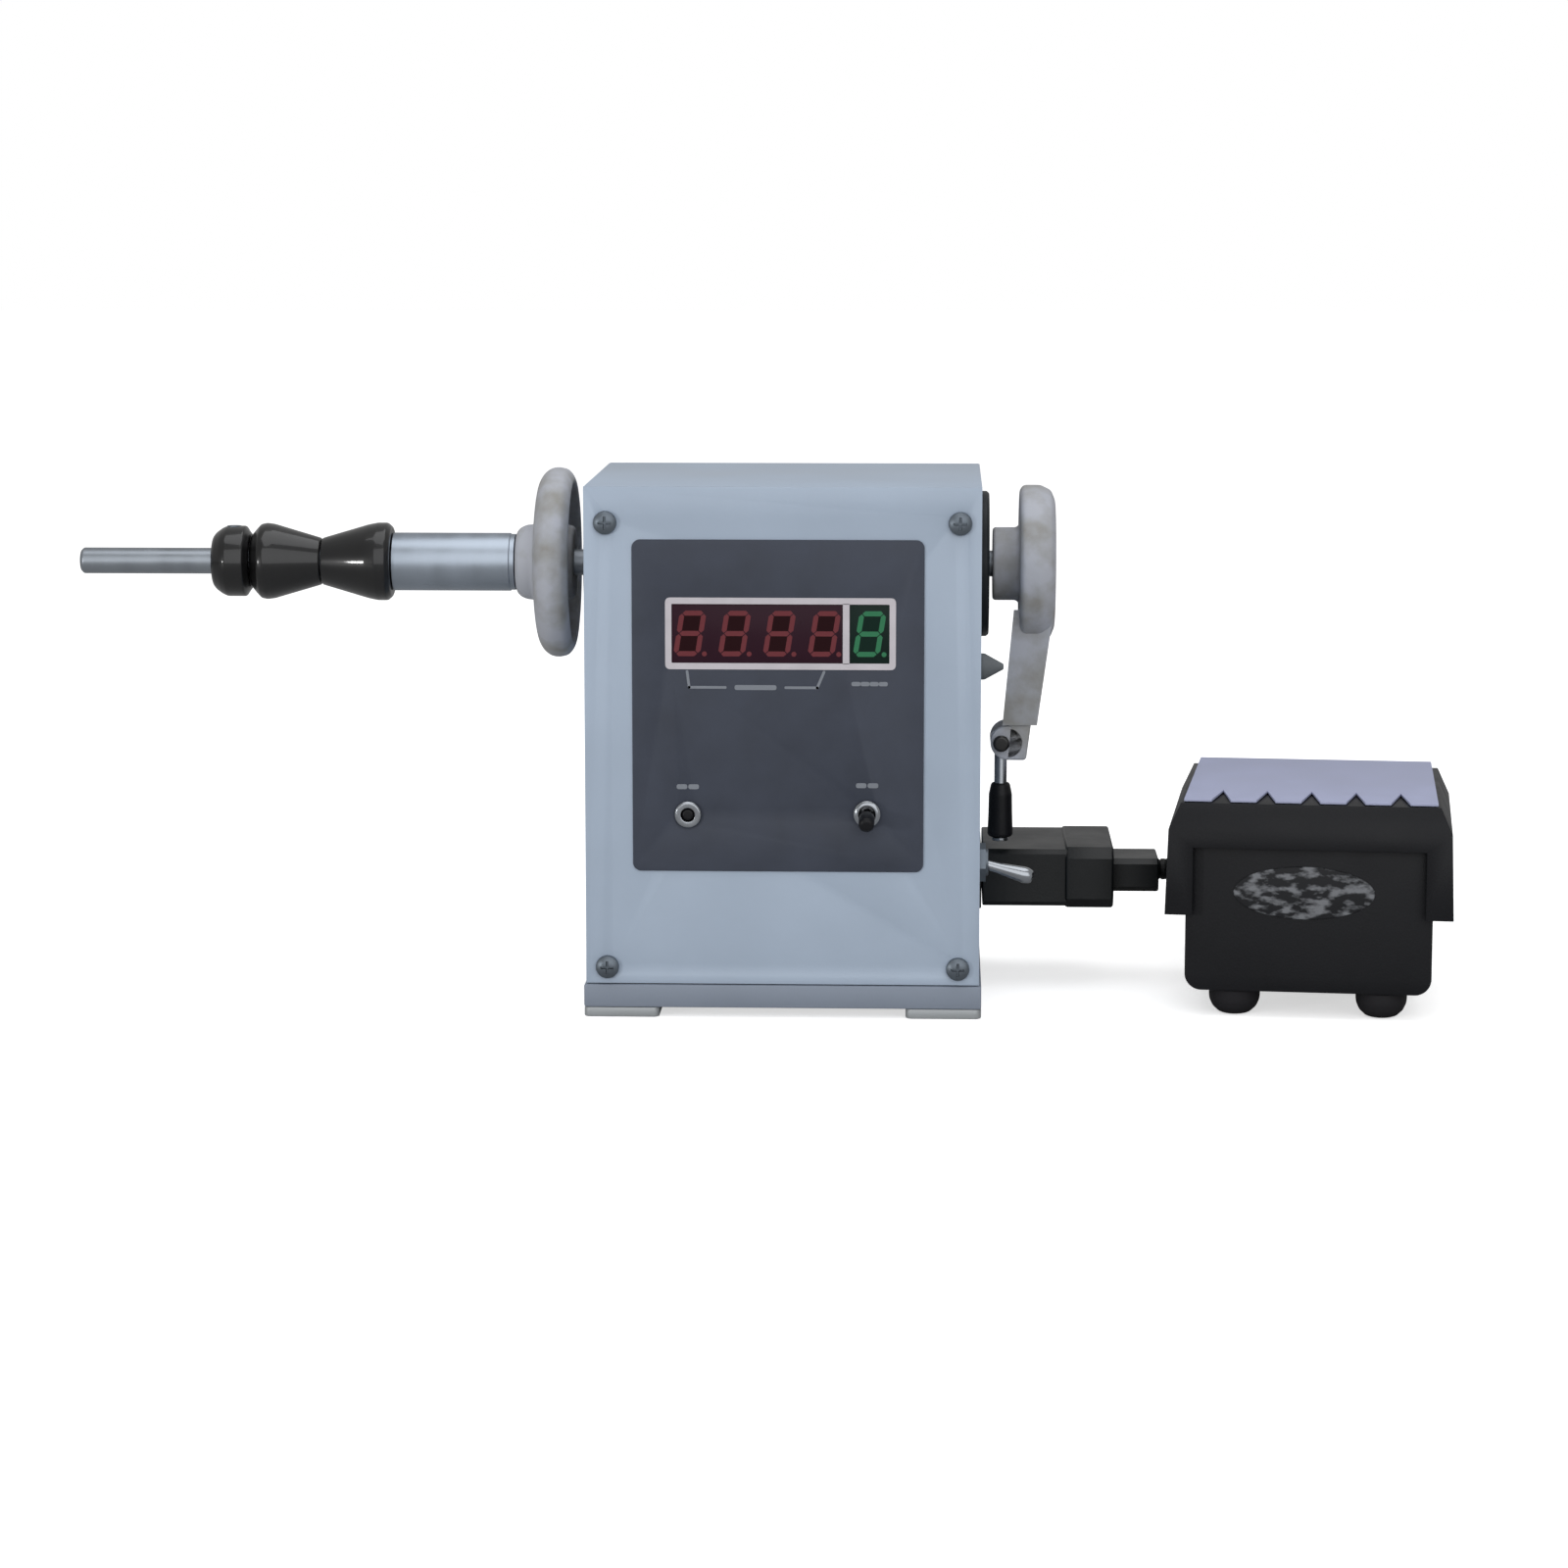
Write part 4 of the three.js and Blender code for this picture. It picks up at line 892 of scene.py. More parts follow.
@dataclass
class SheetCase:
    """The folded case on its base: shell, panels, foot strips, screws, mains inlet and bumper."""

    screw_radius: float = 3.5
    screw_proud: float = 2.2

    def build(self) -> None:
        """Builds and dresses every piece of the case."""
        for node, edge, finish in (("case_shell", 0.55, ENAMEL), ("front_panel", 0.5, ENAMEL),
                                   ("rear_panel", 0.5, ENAMEL), ("case_base", 0.6, BASE_ENAMEL),
                                   ("foot_left", 0.5, PLATED_STRIP), ("foot_right", 0.5, PLATED_STRIP)):
            place(softened(node, edge), f"{node}_sheet", finish, "root", [node])
        for number in range(1, 5):
            self.screw(number)
        place(softened("mains_inlet", 0.4), "mains_inlet_body", ABS_BLACK, "root",
              ["mains_inlet"])
        self.inlet_pins()
        self.rear_screws()
        self.bumper()

    def pan_head(self) -> list[Point]:
        """Profile of a pan head, from its crown to its seat."""
        radius, proud = self.screw_radius, self.screw_proud
        crown = [(-proud, 0.0), (-proud + 0.05, radius * 0.35), (-proud + 0.3, radius * 0.7)]
        return [*crown, (-proud + 0.9, radius * 0.95), (-proud + 1.5, radius), (0.0, radius), (0.0, 0.0)]

    def screw(self, number: int) -> None:
        """Replaces a panel screw with one that has a finer head and a cross recess."""
        low, high = box_mm(f"front_screw_{number}")
        centre = ((low.x + high.x) / 2, low.y + self.screw_proud, (low.z + high.z) / 2)
        head = turn(self.pan_head(), Axis.Y, centre, 40)
        piece = place(head, f"panel_screw_{number}", ZINC, "root",
                      [f"front_screw_{number}"])
        self.recess(piece, centre, -self.screw_proud)

    def recess(self, piece: bpy.types.Object, centre: Sequence[float], front: float) -> None:
        """Cuts a cross recess into a screw's head.

        Args:
            piece: The screw.
            centre: The middle of its seat.
            front: Its crown, along Y from the seat.
        """
        x, y, z = centre
        across, thin, sink = 2.0, 0.38, 1.0
        arms = [slab((x - a, y + front - sink, z - b), (x + a, y + front + sink, z + b), 0.12, 1)
                for a, b in ((across, thin), (thin, across))]
        cutter = bpy.data.meshes.new("cutter")
        shape = join(arms)
        shape.to_mesh(cutter)
        shape.free()
        tool = bpy.data.objects.new("cutter", cutter)
        bpy.context.scene.collection.objects.link(tool)
        change = piece.modifiers.new("recess", "BOOLEAN")
        change.object, change.operation, change.use_self = tool, "DIFFERENCE", True
        depsgraph = bpy.context.evaluated_depsgraph_get()
        cut = bpy.data.meshes.new_from_object(piece.evaluated_get(depsgraph))
        piece.modifiers.clear()
        piece.data = cut
        bpy.data.objects.remove(tool)

    def rear_screws(self) -> None:
        """Adds the screws of the rear panel, which mirror those of the front."""
        _, high = box_mm("rear_panel")
        for number in range(1, 5):
            near, far = box_mm(f"front_screw_{number}")
            profile = [(-along, radius) for along, radius in self.pan_head()]
            centre = ((near.x + far.x) / 2, high.y, (near.z + far.z) / 2)
            head = turn(profile, Axis.Y, centre, 40)
            piece = place(head, f"rear_screw_{number}", ZINC, "root")
            self.recess(piece, centre, self.screw_proud)

    def inlet_pins(self) -> None:
        """Adds the three flat pins inside the mains inlet."""
        low, high = box_mm("mains_inlet")
        middle = (low + high) / 2
        for number, (across, up) in enumerate(((-7.0, -2.0), (7.0, -2.0), (0.0, 2.5)), start=1):
            x, z = middle.x + across, middle.z + up
            pin = slab((x - 1, low.y + 1.5, z - 2), (x + 1, low.y + 14, z + 2), 0.3, 2)
            place(pin, f"inlet_pin_{number}", CHROME, "root")

    def bumper(self) -> None:
        """Turns the small cone that stands on the right-hand wall."""
        low, high = box_mm("side_bumper")
        radius = (high.z - low.z) / 2
        length = high.x - low.x
        outline = [(0.0, 1.5), (2.5, 1.5), (2.5, radius), (3.7, radius), (length, 0.8)]
        profile = solid_profile(outline, 0.5)
        shape = turn(profile, Axis.X, (low.x, (low.y + high.y) / 2, (low.z + high.z) / 2), 48)
        place(shape, "side_bumper_cone", BUMPER_RUBBER, "root", ["side_bumper"])


# ---- display and controls ------------------------------------------------------------------------


@dataclass
class Digit:
    """A seven-bar digit, slanted as on common display modules."""

    width: float = 8.0
    height: float = 13.6
    bar: float = 1.5
    slant: float = 0.16
    gap: float = 0.18

    def bars(self) -> list[list[Point]]:
        """Outlines of the seven bars, about the digit's middle."""
        across, up, half = self.width / 2 - self.bar / 2, self.height / 2 - self.bar / 2, self.bar / 2
        outlines = []
        for level in (-up, 0.0, up):
            start, end = -across + self.gap, across - self.gap
            outlines.append([(start, level), (start + half, level - half), (end - half, level - half),
                             (end, level), (end - half, level + half), (start + half, level + half)])
        for side in (-across, across):
            for base in (-up, 0.0):
                start, end = base + self.gap, base + up - self.gap
                outlines.append([(side, start), (side + half, start + half), (side + half, end - half),
                                 (side, end), (side - half, end - half), (side - half, start + half)])
        return [[(u + v * self.slant, v) for u, v in outline] for outline in outlines]

    def fields(self) -> list[list[Point]]:
        """Outlines of the two fields that the bars enclose."""
        across, up = self.width / 2 - self.bar, self.height / 2 - self.bar
        pair = (rectangle(-across, across, self.bar / 2, up),
                rectangle(-across, across, -up, -self.bar / 2))
        return [[(u + v * self.slant, v) for u, v in outline] for outline in pair]


@dataclass
class DisplayPanel:
    """The printed film with its frame, windows, digits and marks."""

    line: float = 1.9
    print_thick: float = 0.08
    digit_pitch: float = 13.3
    lens_lap: float = 0.3
    mark_rise: float = 8.4

    def build(self) -> None:
        """Builds the film and everything that is printed or seen on it."""
        place(softened("panel_overlay", 0.12), "panel_film", FILM, "root", ["panel_overlay"])
        self.face = box_mm("panel_overlay")[0].y
        self.windows()
        self.frame()
        self.bracket()
        self.key_marks()

    def windows(self) -> None:
        """Builds both lenses with the digits that are seen through them."""
        looks = (("red", 4, RED_LENS, RED_BAR, RED_FIELD),
                 ("green", 1, GREEN_LENS, GREEN_BAR, GREEN_FIELD))
        for colour, count, lens, bar, field in looks:
            low, high = box_mm(f"{colour}_window")
            grown = Vector((self.lens_lap, 0.0, self.lens_lap))
            pane = slab(low - grown, high + grown, 0.12, 2)
            place(pane, f"{colour}_lens", lens, "root", [f"{colour}_window"])
            middle = (low + high) / 2
            digit = Digit()
            for number in range(count):
                x = middle.x + (number - (count - 1) / 2) * self.digit_pitch
                face = low.y - 0.001
                spot = (x, face, middle.z)
                fields = [pull(outline, 0.02, Axis.FRONT, spot) for outline in digit.fields()]
                bars = [pull(outline, 0.04, Axis.FRONT, spot) for outline in digit.bars()]
                point = circle(0.75, 0.75, 16)
                bars.append(pull(point, 0.04, Axis.FRONT, (x + 4.3, face, middle.z - 6.1)))
                # The fields and the bars carry a faint painted glow from their finishes.
                place(join(fields), f"{colour}_field_{number + 1}", field, "root")
                place(join(bars), f"{colour}_digit_bars_{number + 1}", bar, "root")

    def frame(self) -> None:
        """Prints the white frame around both windows and the bar between them."""
        red_low, red_high = box_mm("red_window")
        green_low, green_high = box_mm("green_window")
        lap, grow = self.lens_lap, self.line
        inside = (red_low.x - lap, green_high.x + lap, red_low.z - lap, red_high.z + lap)
        outside = (inside[0] - grow, inside[1] + grow, inside[2] - grow, inside[3] + grow)
        outer = rounded_loop(rectangle(*outside), 1.6)
        inner = rounded_loop(rectangle(*inside), 0.3)
        ring = frame_ring(outer, inner, self.print_thick + 0.1, Axis.FRONT, (0, self.face, 0))
        bar = slab((red_high.x + 0.35, self.face - self.print_thick - 0.1, inside[2] - 0.2),
                   (green_low.x - 0.35, self.face, inside[3] + 0.2), 0.03, 1)
        place(join([ring, bar]), "display_frame", PRINT, "root")

    def stroke(self, start: Point, end: Point, width: float) -> bmesh.types.BMesh:
        """Prints one straight line with round ends on the film.

        Args:
            start: Where it starts, seen from the front.
            end: Where it ends.
            width: Its width.

        Returns:
            The line.
        """
        a, b = Vector(start), Vector(end)
        along = (b - a).normalized()
        side = Vector((-along.y, along.x)) * width / 2
        corners = [a - side - along * width / 2, b - side + along * width / 2,
                   b + side + along * width / 2, a + side - along * width / 2]
        outline = rounded_loop([(p.x, p.y) for p in corners], width * 0.48, 4)
        return pull(outline, self.print_thick, Axis.FRONT, (0, self.face, 0))

    def bracket(self) -> None:
        """Prints the bracket that groups the red digits."""
        low, high = box_mm("red_window")
        left, right, top, base = low.x + 4.3, high.x - 5.2, low.z - 2.9, low.z - 7.6
        middle = (left + right) / 2
        lines = (((left, top), (left + 0.6, base)), ((left + 0.6, base), (middle - 9.0, base)),
                 ((middle + 9.0, base), (right - 2.0, base)), ((right - 2.0, base), (right, top)),
                 ((middle - 5.5, base), (middle + 5.5, base)))
        strokes = [self.stroke(a, b, 0.8) for a, b in lines[:4]] + [self.stroke(*lines[4], 1.5)]
        place(join(strokes), "digit_bracket", FAINT_PRINT, "root")

    def key_marks(self) -> None:
        """Prints short bars over both controls and under the green digit."""
        marks = []
        for node in ("reset_switch_body", "mode_switch_body"):
            low, high = box_mm(node)
            x, z = (low.x + high.x) / 2, (low.z + high.z) / 2 + self.mark_rise
            marks += [self.stroke((x - 2.6, z), (x - 0.9, z), 1.5),
                      self.stroke((x + 0.9, z), (x + 2.6, z), 1.5)]
        low, high = box_mm("green_window")
        x, z = (low.x + high.x) / 2, low.z - 6.4
        marks += [self.stroke((x + step - 0.7, z), (x + step + 0.7, z), 1.3)
                  for step in (-4, -1.3, 1.4, 4.1)]
        place(join(marks), "key_marks", FAINT_PRINT, "root")


@dataclass
class Controls:
    """The reset button, the mode lever and the power toggle."""

    def build(self) -> None:
        """Builds all three."""
        self.reset()
        self.mode()
        self.power()

    def reset(self) -> None:
        """Turns the reset switch's ring and its recessed button."""
        low, high = box_mm("reset_switch_body")
        x, z, front = (low.x + high.x) / 2, (low.z + high.z) / 2, low.y
        ring = ring_profile([(0, 2.1), (0, 3.6), (0.5, 4.1), (1.2, 4.1), (1.2, 3.0), (7.7, 3.0),
                             (7.7, 5.0), (15.7, 5.0), (15.7, 0.5), (10.0, 0.5), (9.6, 2.1)], 0.25)
        place(turn(ring, Axis.Y, (x, front, z), 56), "reset_ring", CHROME, "root",
              ["reset_switch_body"])
        near, far = box_mm("reset_button")
        key = solid_profile([(0, 1.3), (0.35, 1.8), (far.y - near.y, 1.8)], 0.3)
        place(turn(key, Axis.Y, (x, near.y, z), 48), "reset_key_cap", ABS_BLACK, "reset_key",
              ["reset_button"])

    def mode(self) -> None:
        """Turns the mode switch's nut and its capped lever."""
        low, high = box_mm("mode_switch_body")
        x, z, front = (low.x + high.x) / 2, (low.z + high.z) / 2, low.y
        nut = ring_profile([(0, 2.3), (0, 3.2), (0.5, 4.1), (2.4, 4.1), (2.4, 3.0), (6.4, 3.0),
                            (6.4, 2.3)], 0.3)
        case = slab((x - 6, front + 6.4, z - 4.5), (x + 6, high.y, z + 4.5), 0.4, 2)
        place(join([turn(nut, Axis.Y, (x, front, z), 56), case]), "mode_nut", CHROME, "root",
              ["mode_switch_body"])
        pivot = Vector(joint_place("mode_flip"))
        lever = solid_profile([(-11.2, 1.4), (-10.5, 2.3), (-4.4, 2.4), (-3.8, 1.2), (1.2, 1.2)], 0.5)
        shape = turn(lever, Axis.Y, (0, 0, 0), 48)
        self.swing(shape, pivot, math.radians(10), "X")
        place(shape, "mode_lever_cap", ABS_BLACK, "mode_toggle", ["mode_lever"])

    def power(self) -> None:
        """Turns the power toggle's hexagon nut, its neck and its bat lever."""
        low, high = box_mm("power_switch_body")
        y, z = (low.y + high.y) / 2, (low.z + high.z) / 2
        wall = high.x - 2.6
        neck = ring_profile([(-2.6, 2.9), (-2.6, 4.0), (2.6, 4.0), (2.6, 2.9)], 0.3)
        hexagon, hole = (circle(size, size, 6, math.radians(10)) for size in (5.9, 3.95))
        nut = frame_ring(hexagon, hole, 1.8, Axis.X, (wall, y, z))
        case = slab((low.x, low.y + 1.3, low.z), (wall - 2.9, high.y - 1.3, high.z), 0.4, 2)
        place(join([turn(neck, Axis.X, (wall, y, z), 56), nut, case]), "power_switch_nut", ZINC, "root",
              ["power_switch_body"])
        pivot = Vector(joint_place("power_flip"))
        bat = solid_profile([(-1, 1.4), (1, 1.4), (6, 1.5), (15.3, 2.55), (17.4, 1.8)], 0.9)
        shape = turn(bat, Axis.X, (0, 0, 0), 48)
        self.swing(shape, pivot, math.radians(15), "Y")
        place(shape, "power_bat", CHROME, "power_toggle", ["power_lever"])

    @staticmethod
    def swing(shape: bmesh.types.BMesh, pivot: Vector, angle: float, axis: str) -> None:
        """Tilts a lever about its own zero and hangs it on its pivot."""
        shape.transform(Matrix.Translation(pivot * MM) @ Matrix.Rotation(angle, 4, axis))


def joint(name: str) -> dict[str, Any]:
    """Gives a joint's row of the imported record."""
    return next(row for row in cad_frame["record"]["behaviour"]["joints"] if row["name"] == name)


def joint_place(name: str) -> Sequence[float]:
    """Gives a joint's point in millimetres."""
    return [value / MM for value in joint(name)["pos_m"]]


# ---- spindle and crank ---------------------------------------------------------------------------


@dataclass
class ClampSpindle:
    """The rod with its cones, collar, sleeve tube, hand wheel and bearing flanges."""

    bore: float = 4.3
    rod_radius: float = 4.0
    tube_radius: float = 8.93

    def build(self) -> None:
        """Turns every piece on the spindle's line."""
        self.line = joint_place("spindle_spin")
        self.rod()
        self.cones()
        self.collar()
        self.tube()
        self.wheel()
        self.flanges()

    def lathe(self, node: str, name: str, outline: Sequence[Point], reach: float, finish: Finish,
              body: str, steps: int = 112) -> None:
        """Turns a ring that stands for a node.

        Args:
            node: The node it replaces. Its left-hand end is the outline's zero.
            name: The new piece's name.
            outline: Points of (along, radius), around the section.
            reach: Rounding of its corners.
            finish: Its surface.
            body: The body that it rides on.
            steps: Sides of the turned surface.
        """
        low, _ = box_mm(node)
        centre = (low.x, self.line[1], self.line[2])
        shape = turn(ring_profile(outline, reach), Axis.X, centre, steps)
        place(shape, name, finish, body, [node], crease=40)

    def rod(self) -> None:
        """Turns the long rod, chamfered at both ends."""
        low, high = box_mm("spindle_shaft")
        length = high.x - low.x
        full = self.rod_radius
        profile = solid_profile([(0, full - 0.9), (0.9, full), (length - 0.9, full),
                                 (length, full - 0.9)], 0.35)
        shape = turn(profile, Axis.X, (low.x, self.line[1], self.line[2]), 72)
        place(shape, "spindle_rod", BRIGHT_STEEL, "spindle", ["spindle_shaft"])

    def cones(self) -> None:
        """Turns the two cones, whose small ends meet."""
        bore, length = self.bore, length_mm("outer_cone")
        outline = [(0, bore), (0, 8.0), (1.3, 9.6), (3.0, 11.45), (4.7, 11.8), (7.0, 11.5),
                   (length, 7.2), (length, bore)]
        self.lathe("outer_cone", "outer_cone_turned", outline, 0.5, BLACK_OXIDE, "outer_clamp")
        length = length_mm("inner_cone")
        outline = [(0, bore), (0, 7.2), (length - 7.6, 11.4), (length - 4.6, 12.0),
                   (length - 1.6, 12.0), (length - 0.2, 10.8), (length, 9.6), (length, bore)]
        self.lathe("inner_cone", "inner_cone_turned", outline, 0.5, BLACK_OXIDE, "spindle")

    def collar(self) -> None:
        """Turns the lock collar and sinks a set screw into it."""
        low, _ = box_mm("lock_collar")
        length, bore = length_mm("lock_collar"), self.bore
        outline = [(0, bore), (0, 7.6), (0.9, 8.8), (2.8, 10.2), (4.4, 10.9), (length - 1.6, 10.9),
                   (length - 0.5, 9.2), (length, 8.6), (length, bore)]
        self.lathe("lock_collar", "lock_collar_turned", outline, 0.5, BLACK_OXIDE, "outer_clamp")
        x, y, z = low.x + 6.4, self.line[1], self.line[2]
        socket = ring_profile([(9.8, 1.1), (9.8, 2.2), (10.95, 2.2), (10.95, 1.1)], 0.15)
        place(turn(socket, Axis.Z, (x, y, z), 32), "collar_set_screw", ZINC, "outer_clamp")

    def tube(self) -> None:
        """Turns the bright sleeve between the cones and the wheel."""
        length, full, bore = length_mm("sleeve_tube"), self.tube_radius, self.bore
        outline = [(0, bore), (0, full), (length - 1.6, full), (length - 1.5, full - 0.3),
                   (length, full - 0.3), (length, bore)]
        self.lathe("sleeve_tube", "sleeve_tube_bright", outline, 0.2, TUBE_STEEL, "spindle")

    def wheel(self) -> None:
        """Turns the cast hand wheel: flared hub, dished web and a heavy rounded rim."""
        bore = self.bore
        hub = [(0, bore), (0, 9.2), (1.2, 10.6), (3.2, 11.5), (5.2, 11.6), (6.2, 12.8)]
        rim = [(6.6, 16.0), (6.8, 22.0), (7.4, 25.0), (8.8, 27.4), (10.8, 28.9), (13.0, 29.3),
               (15.9, 28.7), (17.3, 27.1), (18.0, 25.4), (17.6, 24.3)]
        dish = [(14.5, 22.8), (11.0, 20.5), (10.4, 13.0), (18.0, 11.0), (18.0, bore)]
        self.lathe("hand_wheel", "hand_wheel_cast", hub + rim + dish, 1.2, CAST, "spindle",
                   128)

    def flanges(self) -> None:
        """Turns the bearing flanges on both side walls: plated at the left, dark at the right."""
        looks = (("left_bearing", -1, ZINC, "bright_steel"),
                 ("right_bearing", 1, BEARING_BLACK, "blackened_steel"))
        for node, side, finish, slot in looks:
            low, high = box_mm(node)
            wide = high.x - low.x
            outline = [(0, self.bore), (0, 14.0), (9.0, 14.0), (9.0, 22.3), (wide - 0.8, 22.3),
                       (wide, 21.6), (wide, 12.0), (wide - 0.8, 11.4), (wide - 0.8, self.bore)]
            start = low.x if side > 0 else high.x
            profile = [(side * along, radius) for along, radius in ring_profile(outline, 0.3)]
            shape = turn(profile, Axis.X, (start, self.line[1], self.line[2]), 96)
            place(shape, f"{node}_flange", finish, "root", [node])


@dataclass
class CrankArm:
    """The cast crank with its forked end and the folding grip."""

    hub_radius: float = 11.2
    head_radius: float = 24.2
    arm_blank: float = 30.0
    arm_wide: float = 14.6
    arm_narrow: float = 8.6

    def build(self) -> None:
        """Builds the casting, the pivot pin and the grip."""
        self.line = joint_place("spindle_spin")
        self.fold = joint_place("grip_fold")
        self.casting()
        self.crank_screw()
        self.pin()
        self.grip()

    def casting(self) -> None:
        """Joins hub, head, arm and fork into one casting with soft corners."""
        low, high = box_mm("crank")
        _, y, z = self.line
        wide = high.x - low.x
        hub, full = self.hub_radius, self.head_radius
        head = solid_profile([(0.5, hub - 0.6), (1.1, hub), (7.7, hub), (8.7, hub + 1.0),
                              (8.7, full - 1.6), (9.6, full - 0.3), (10.6, full), (wide - 4.6, full),
                              (wide - 1.4, full - 1.6), (wide - 0.1, full - 4.8)], 0.9)
        shapes = [turn(head, Axis.X, (low.x, y, z), 96)]
        shapes += [self.cheek(side) for side in (-1, 1)]
        shapes.append(self.upper_arm())
        place(join(shapes), "crank_casting", CAST, "spindle", ["crank"], crease=50)

    def side_outline(self, top: float, bottom: float) -> list[Point]:
        """Outline of the arm seen from the front: it leans in as it falls.

        Args:
            top: The height where the outline starts.
            bottom: The height where it ends.

        Returns:
            Its four corners.
        """
        low, _ = box_mm("crank")
        end, crown = low.z, low.z + 47.2
        inner = (low.x + 4.6, low.x + 8.7)
        outer = (low.x + 11.1, low.x + 17.2)

        def across(limits: Point, up: float) -> float:
            """Where one side of the arm stands at a height."""
            share = (up - end) / (crown - end)
            return limits[0] + (limits[1] - limits[0]) * share

        return [(across(inner, bottom), bottom), (across(outer, bottom), bottom),
                (across(outer, top), top), (across(inner, top), top)]

    def upper_arm(self) -> bmesh.types.BMesh:
        """Pulls the solid stretch of the arm between the head and the fork."""
        low, _ = box_mm("crank")
        y = self.line[1]
        outline = self.side_outline(low.z + 46, low.z + 13.4)
        shape = pull(outline, self.arm_blank, Axis.FRONT, (0, y + self.arm_blank / 2, 0))
        self.taper(shape)
        round_off(shape, shape.edges[:], 1.8, 5)
        return shape

    def taper(self, shape: bmesh.types.BMesh) -> None:
        """Narrows the arm from the head down to the fork."""
        low, _ = box_mm("crank")
        y = self.line[1] * MM
        for corner in shape.verts:
            up = corner.co.z / MM - low.z
            grown = (self.arm_wide - self.arm_narrow) * max(up - 8.0, 0.0) / 40.0
            half = self.arm_narrow + grown
            corner.co.y = y + (corner.co.y - y) * half / (self.arm_blank / 2)

    def cheek(self, side: int) -> bmesh.types.BMesh:
        """Makes one cheek of the fork, with the ear that carries the pin.

        Args:
            side: -1 for the front cheek, 1 for the rear one.

        Returns:
            The cheek.
        """
        low, _ = box_mm("crank")
        y = self.line[1]
        near, far = sorted((y + side * 5.2, y + side * 8.4))
        arm = slab_from(self.side_outline(low.z + 17, low.z + 0.6), near, far, 0.9)
        x, _, z = self.fold
        ear = turn(solid_profile([(0, 5.3), (far - near, 5.3)], 0.8), Axis.Y, (x + 2.0, near, z), 48)
        return join([arm, ear])

    def crank_screw(self) -> None:
        """Adds the washer and the hexagon-socket screw that hold the crank on the rod."""
        _, high = box_mm("crank")
        _, y, z = self.line
        washer = ring_profile([(-0.6, 4.0), (-0.6, 8.4), (0.0, 8.4), (0.0, 4.0)], 0.2)
        place(turn(washer, Axis.X, (high.x, y, z), 56), "crank_washer", ZINC, "spindle")
        head = ring_profile([(-3.4, 2.4), (-3.4, 4.4), (0.0, 4.4), (0.0, 2.4)], 0.35)
        place(turn(head, Axis.X, (high.x - 0.02, y, z), 48), "crank_screw_head", BLACK_OXIDE, "spindle")

    def pin(self) -> None:
        """Turns the pin that the grip folds on, with a dark domed head at each end."""
        x, y, z = self.fold
        low, high = box_mm("grip_pivot_pin")
        half = (high.y - low.y) / 2
        outline = [(-half, 1.9), (-half + 0.5, 2.55), (-half + 1.2, 2.55), (-half + 1.2, 1.45),
                   (half - 1.2, 1.45), (half - 1.2, 2.55), (half - 0.5, 2.55), (half, 1.9)]
        place(turn(solid_profile(outline, 0.25), Axis.Y, (x, y, z), 48), "grip_pin", BLACK_OXIDE,
              "spindle", ["grip_pivot_pin"])

    def grip(self) -> None:
        """Turns the bright stem with its eye, and the black sleeve around it."""
        x, y, z = self.fold
        low, high = box_mm("grip_stem")
        ring = ring_profile([(-3, 1.8), (-3, 3.3), (3, 3.3), (3, 1.8)], 0.4)
        eye = turn(ring, Axis.Y, (x, y, z), 56)
        shank = solid_profile([(0, 2.5), (1.0, 2.5), (1.05, 1.95), (z - low.z - 2.2, 1.95)], 0.3)
        stem = turn(shank, Axis.Z, (x, y, low.z), 48)
        place(join([eye, stem]), "grip_stem_bright", CHROME, "folding_stem",
              ["grip_stem"])
        low, high = box_mm("grip")
        tall = high.z - low.z
        sleeve = ring_profile([(0, 2.3), (0, 3.2), (0.8, 3.95), (tall * 0.45, 3.7), (tall - 3.5, 3.6),
                               (tall - 0.6, 3.0), (tall, 2.6), (tall, 2.3)], 0.5)
        place(turn(sleeve, Axis.Z, (x, y, low.z), 56), "grip_sleeve_black", ABS_BLACK, "grip_sleeve",
              ["grip"])


def slab_from(outline: Sequence[Point], near: float, far: float, edge: float) -> bmesh.types.BMesh:
    """Pulls a front-view outline between two depths and rounds all of its edges.

    Args:
        outline: The outline, seen from the front.
        near: Where its front face stands.
        far: Where its rear face stands.
        edge: Width of the rounding.

    Returns:
        The block.
    """
    shape = pull(outline, far - near, Axis.FRONT, (0, far, 0))
    round_off(shape, shape.edges[:], edge)
    return shape


# ---- plug ----------------------------------------------------------------------------------------


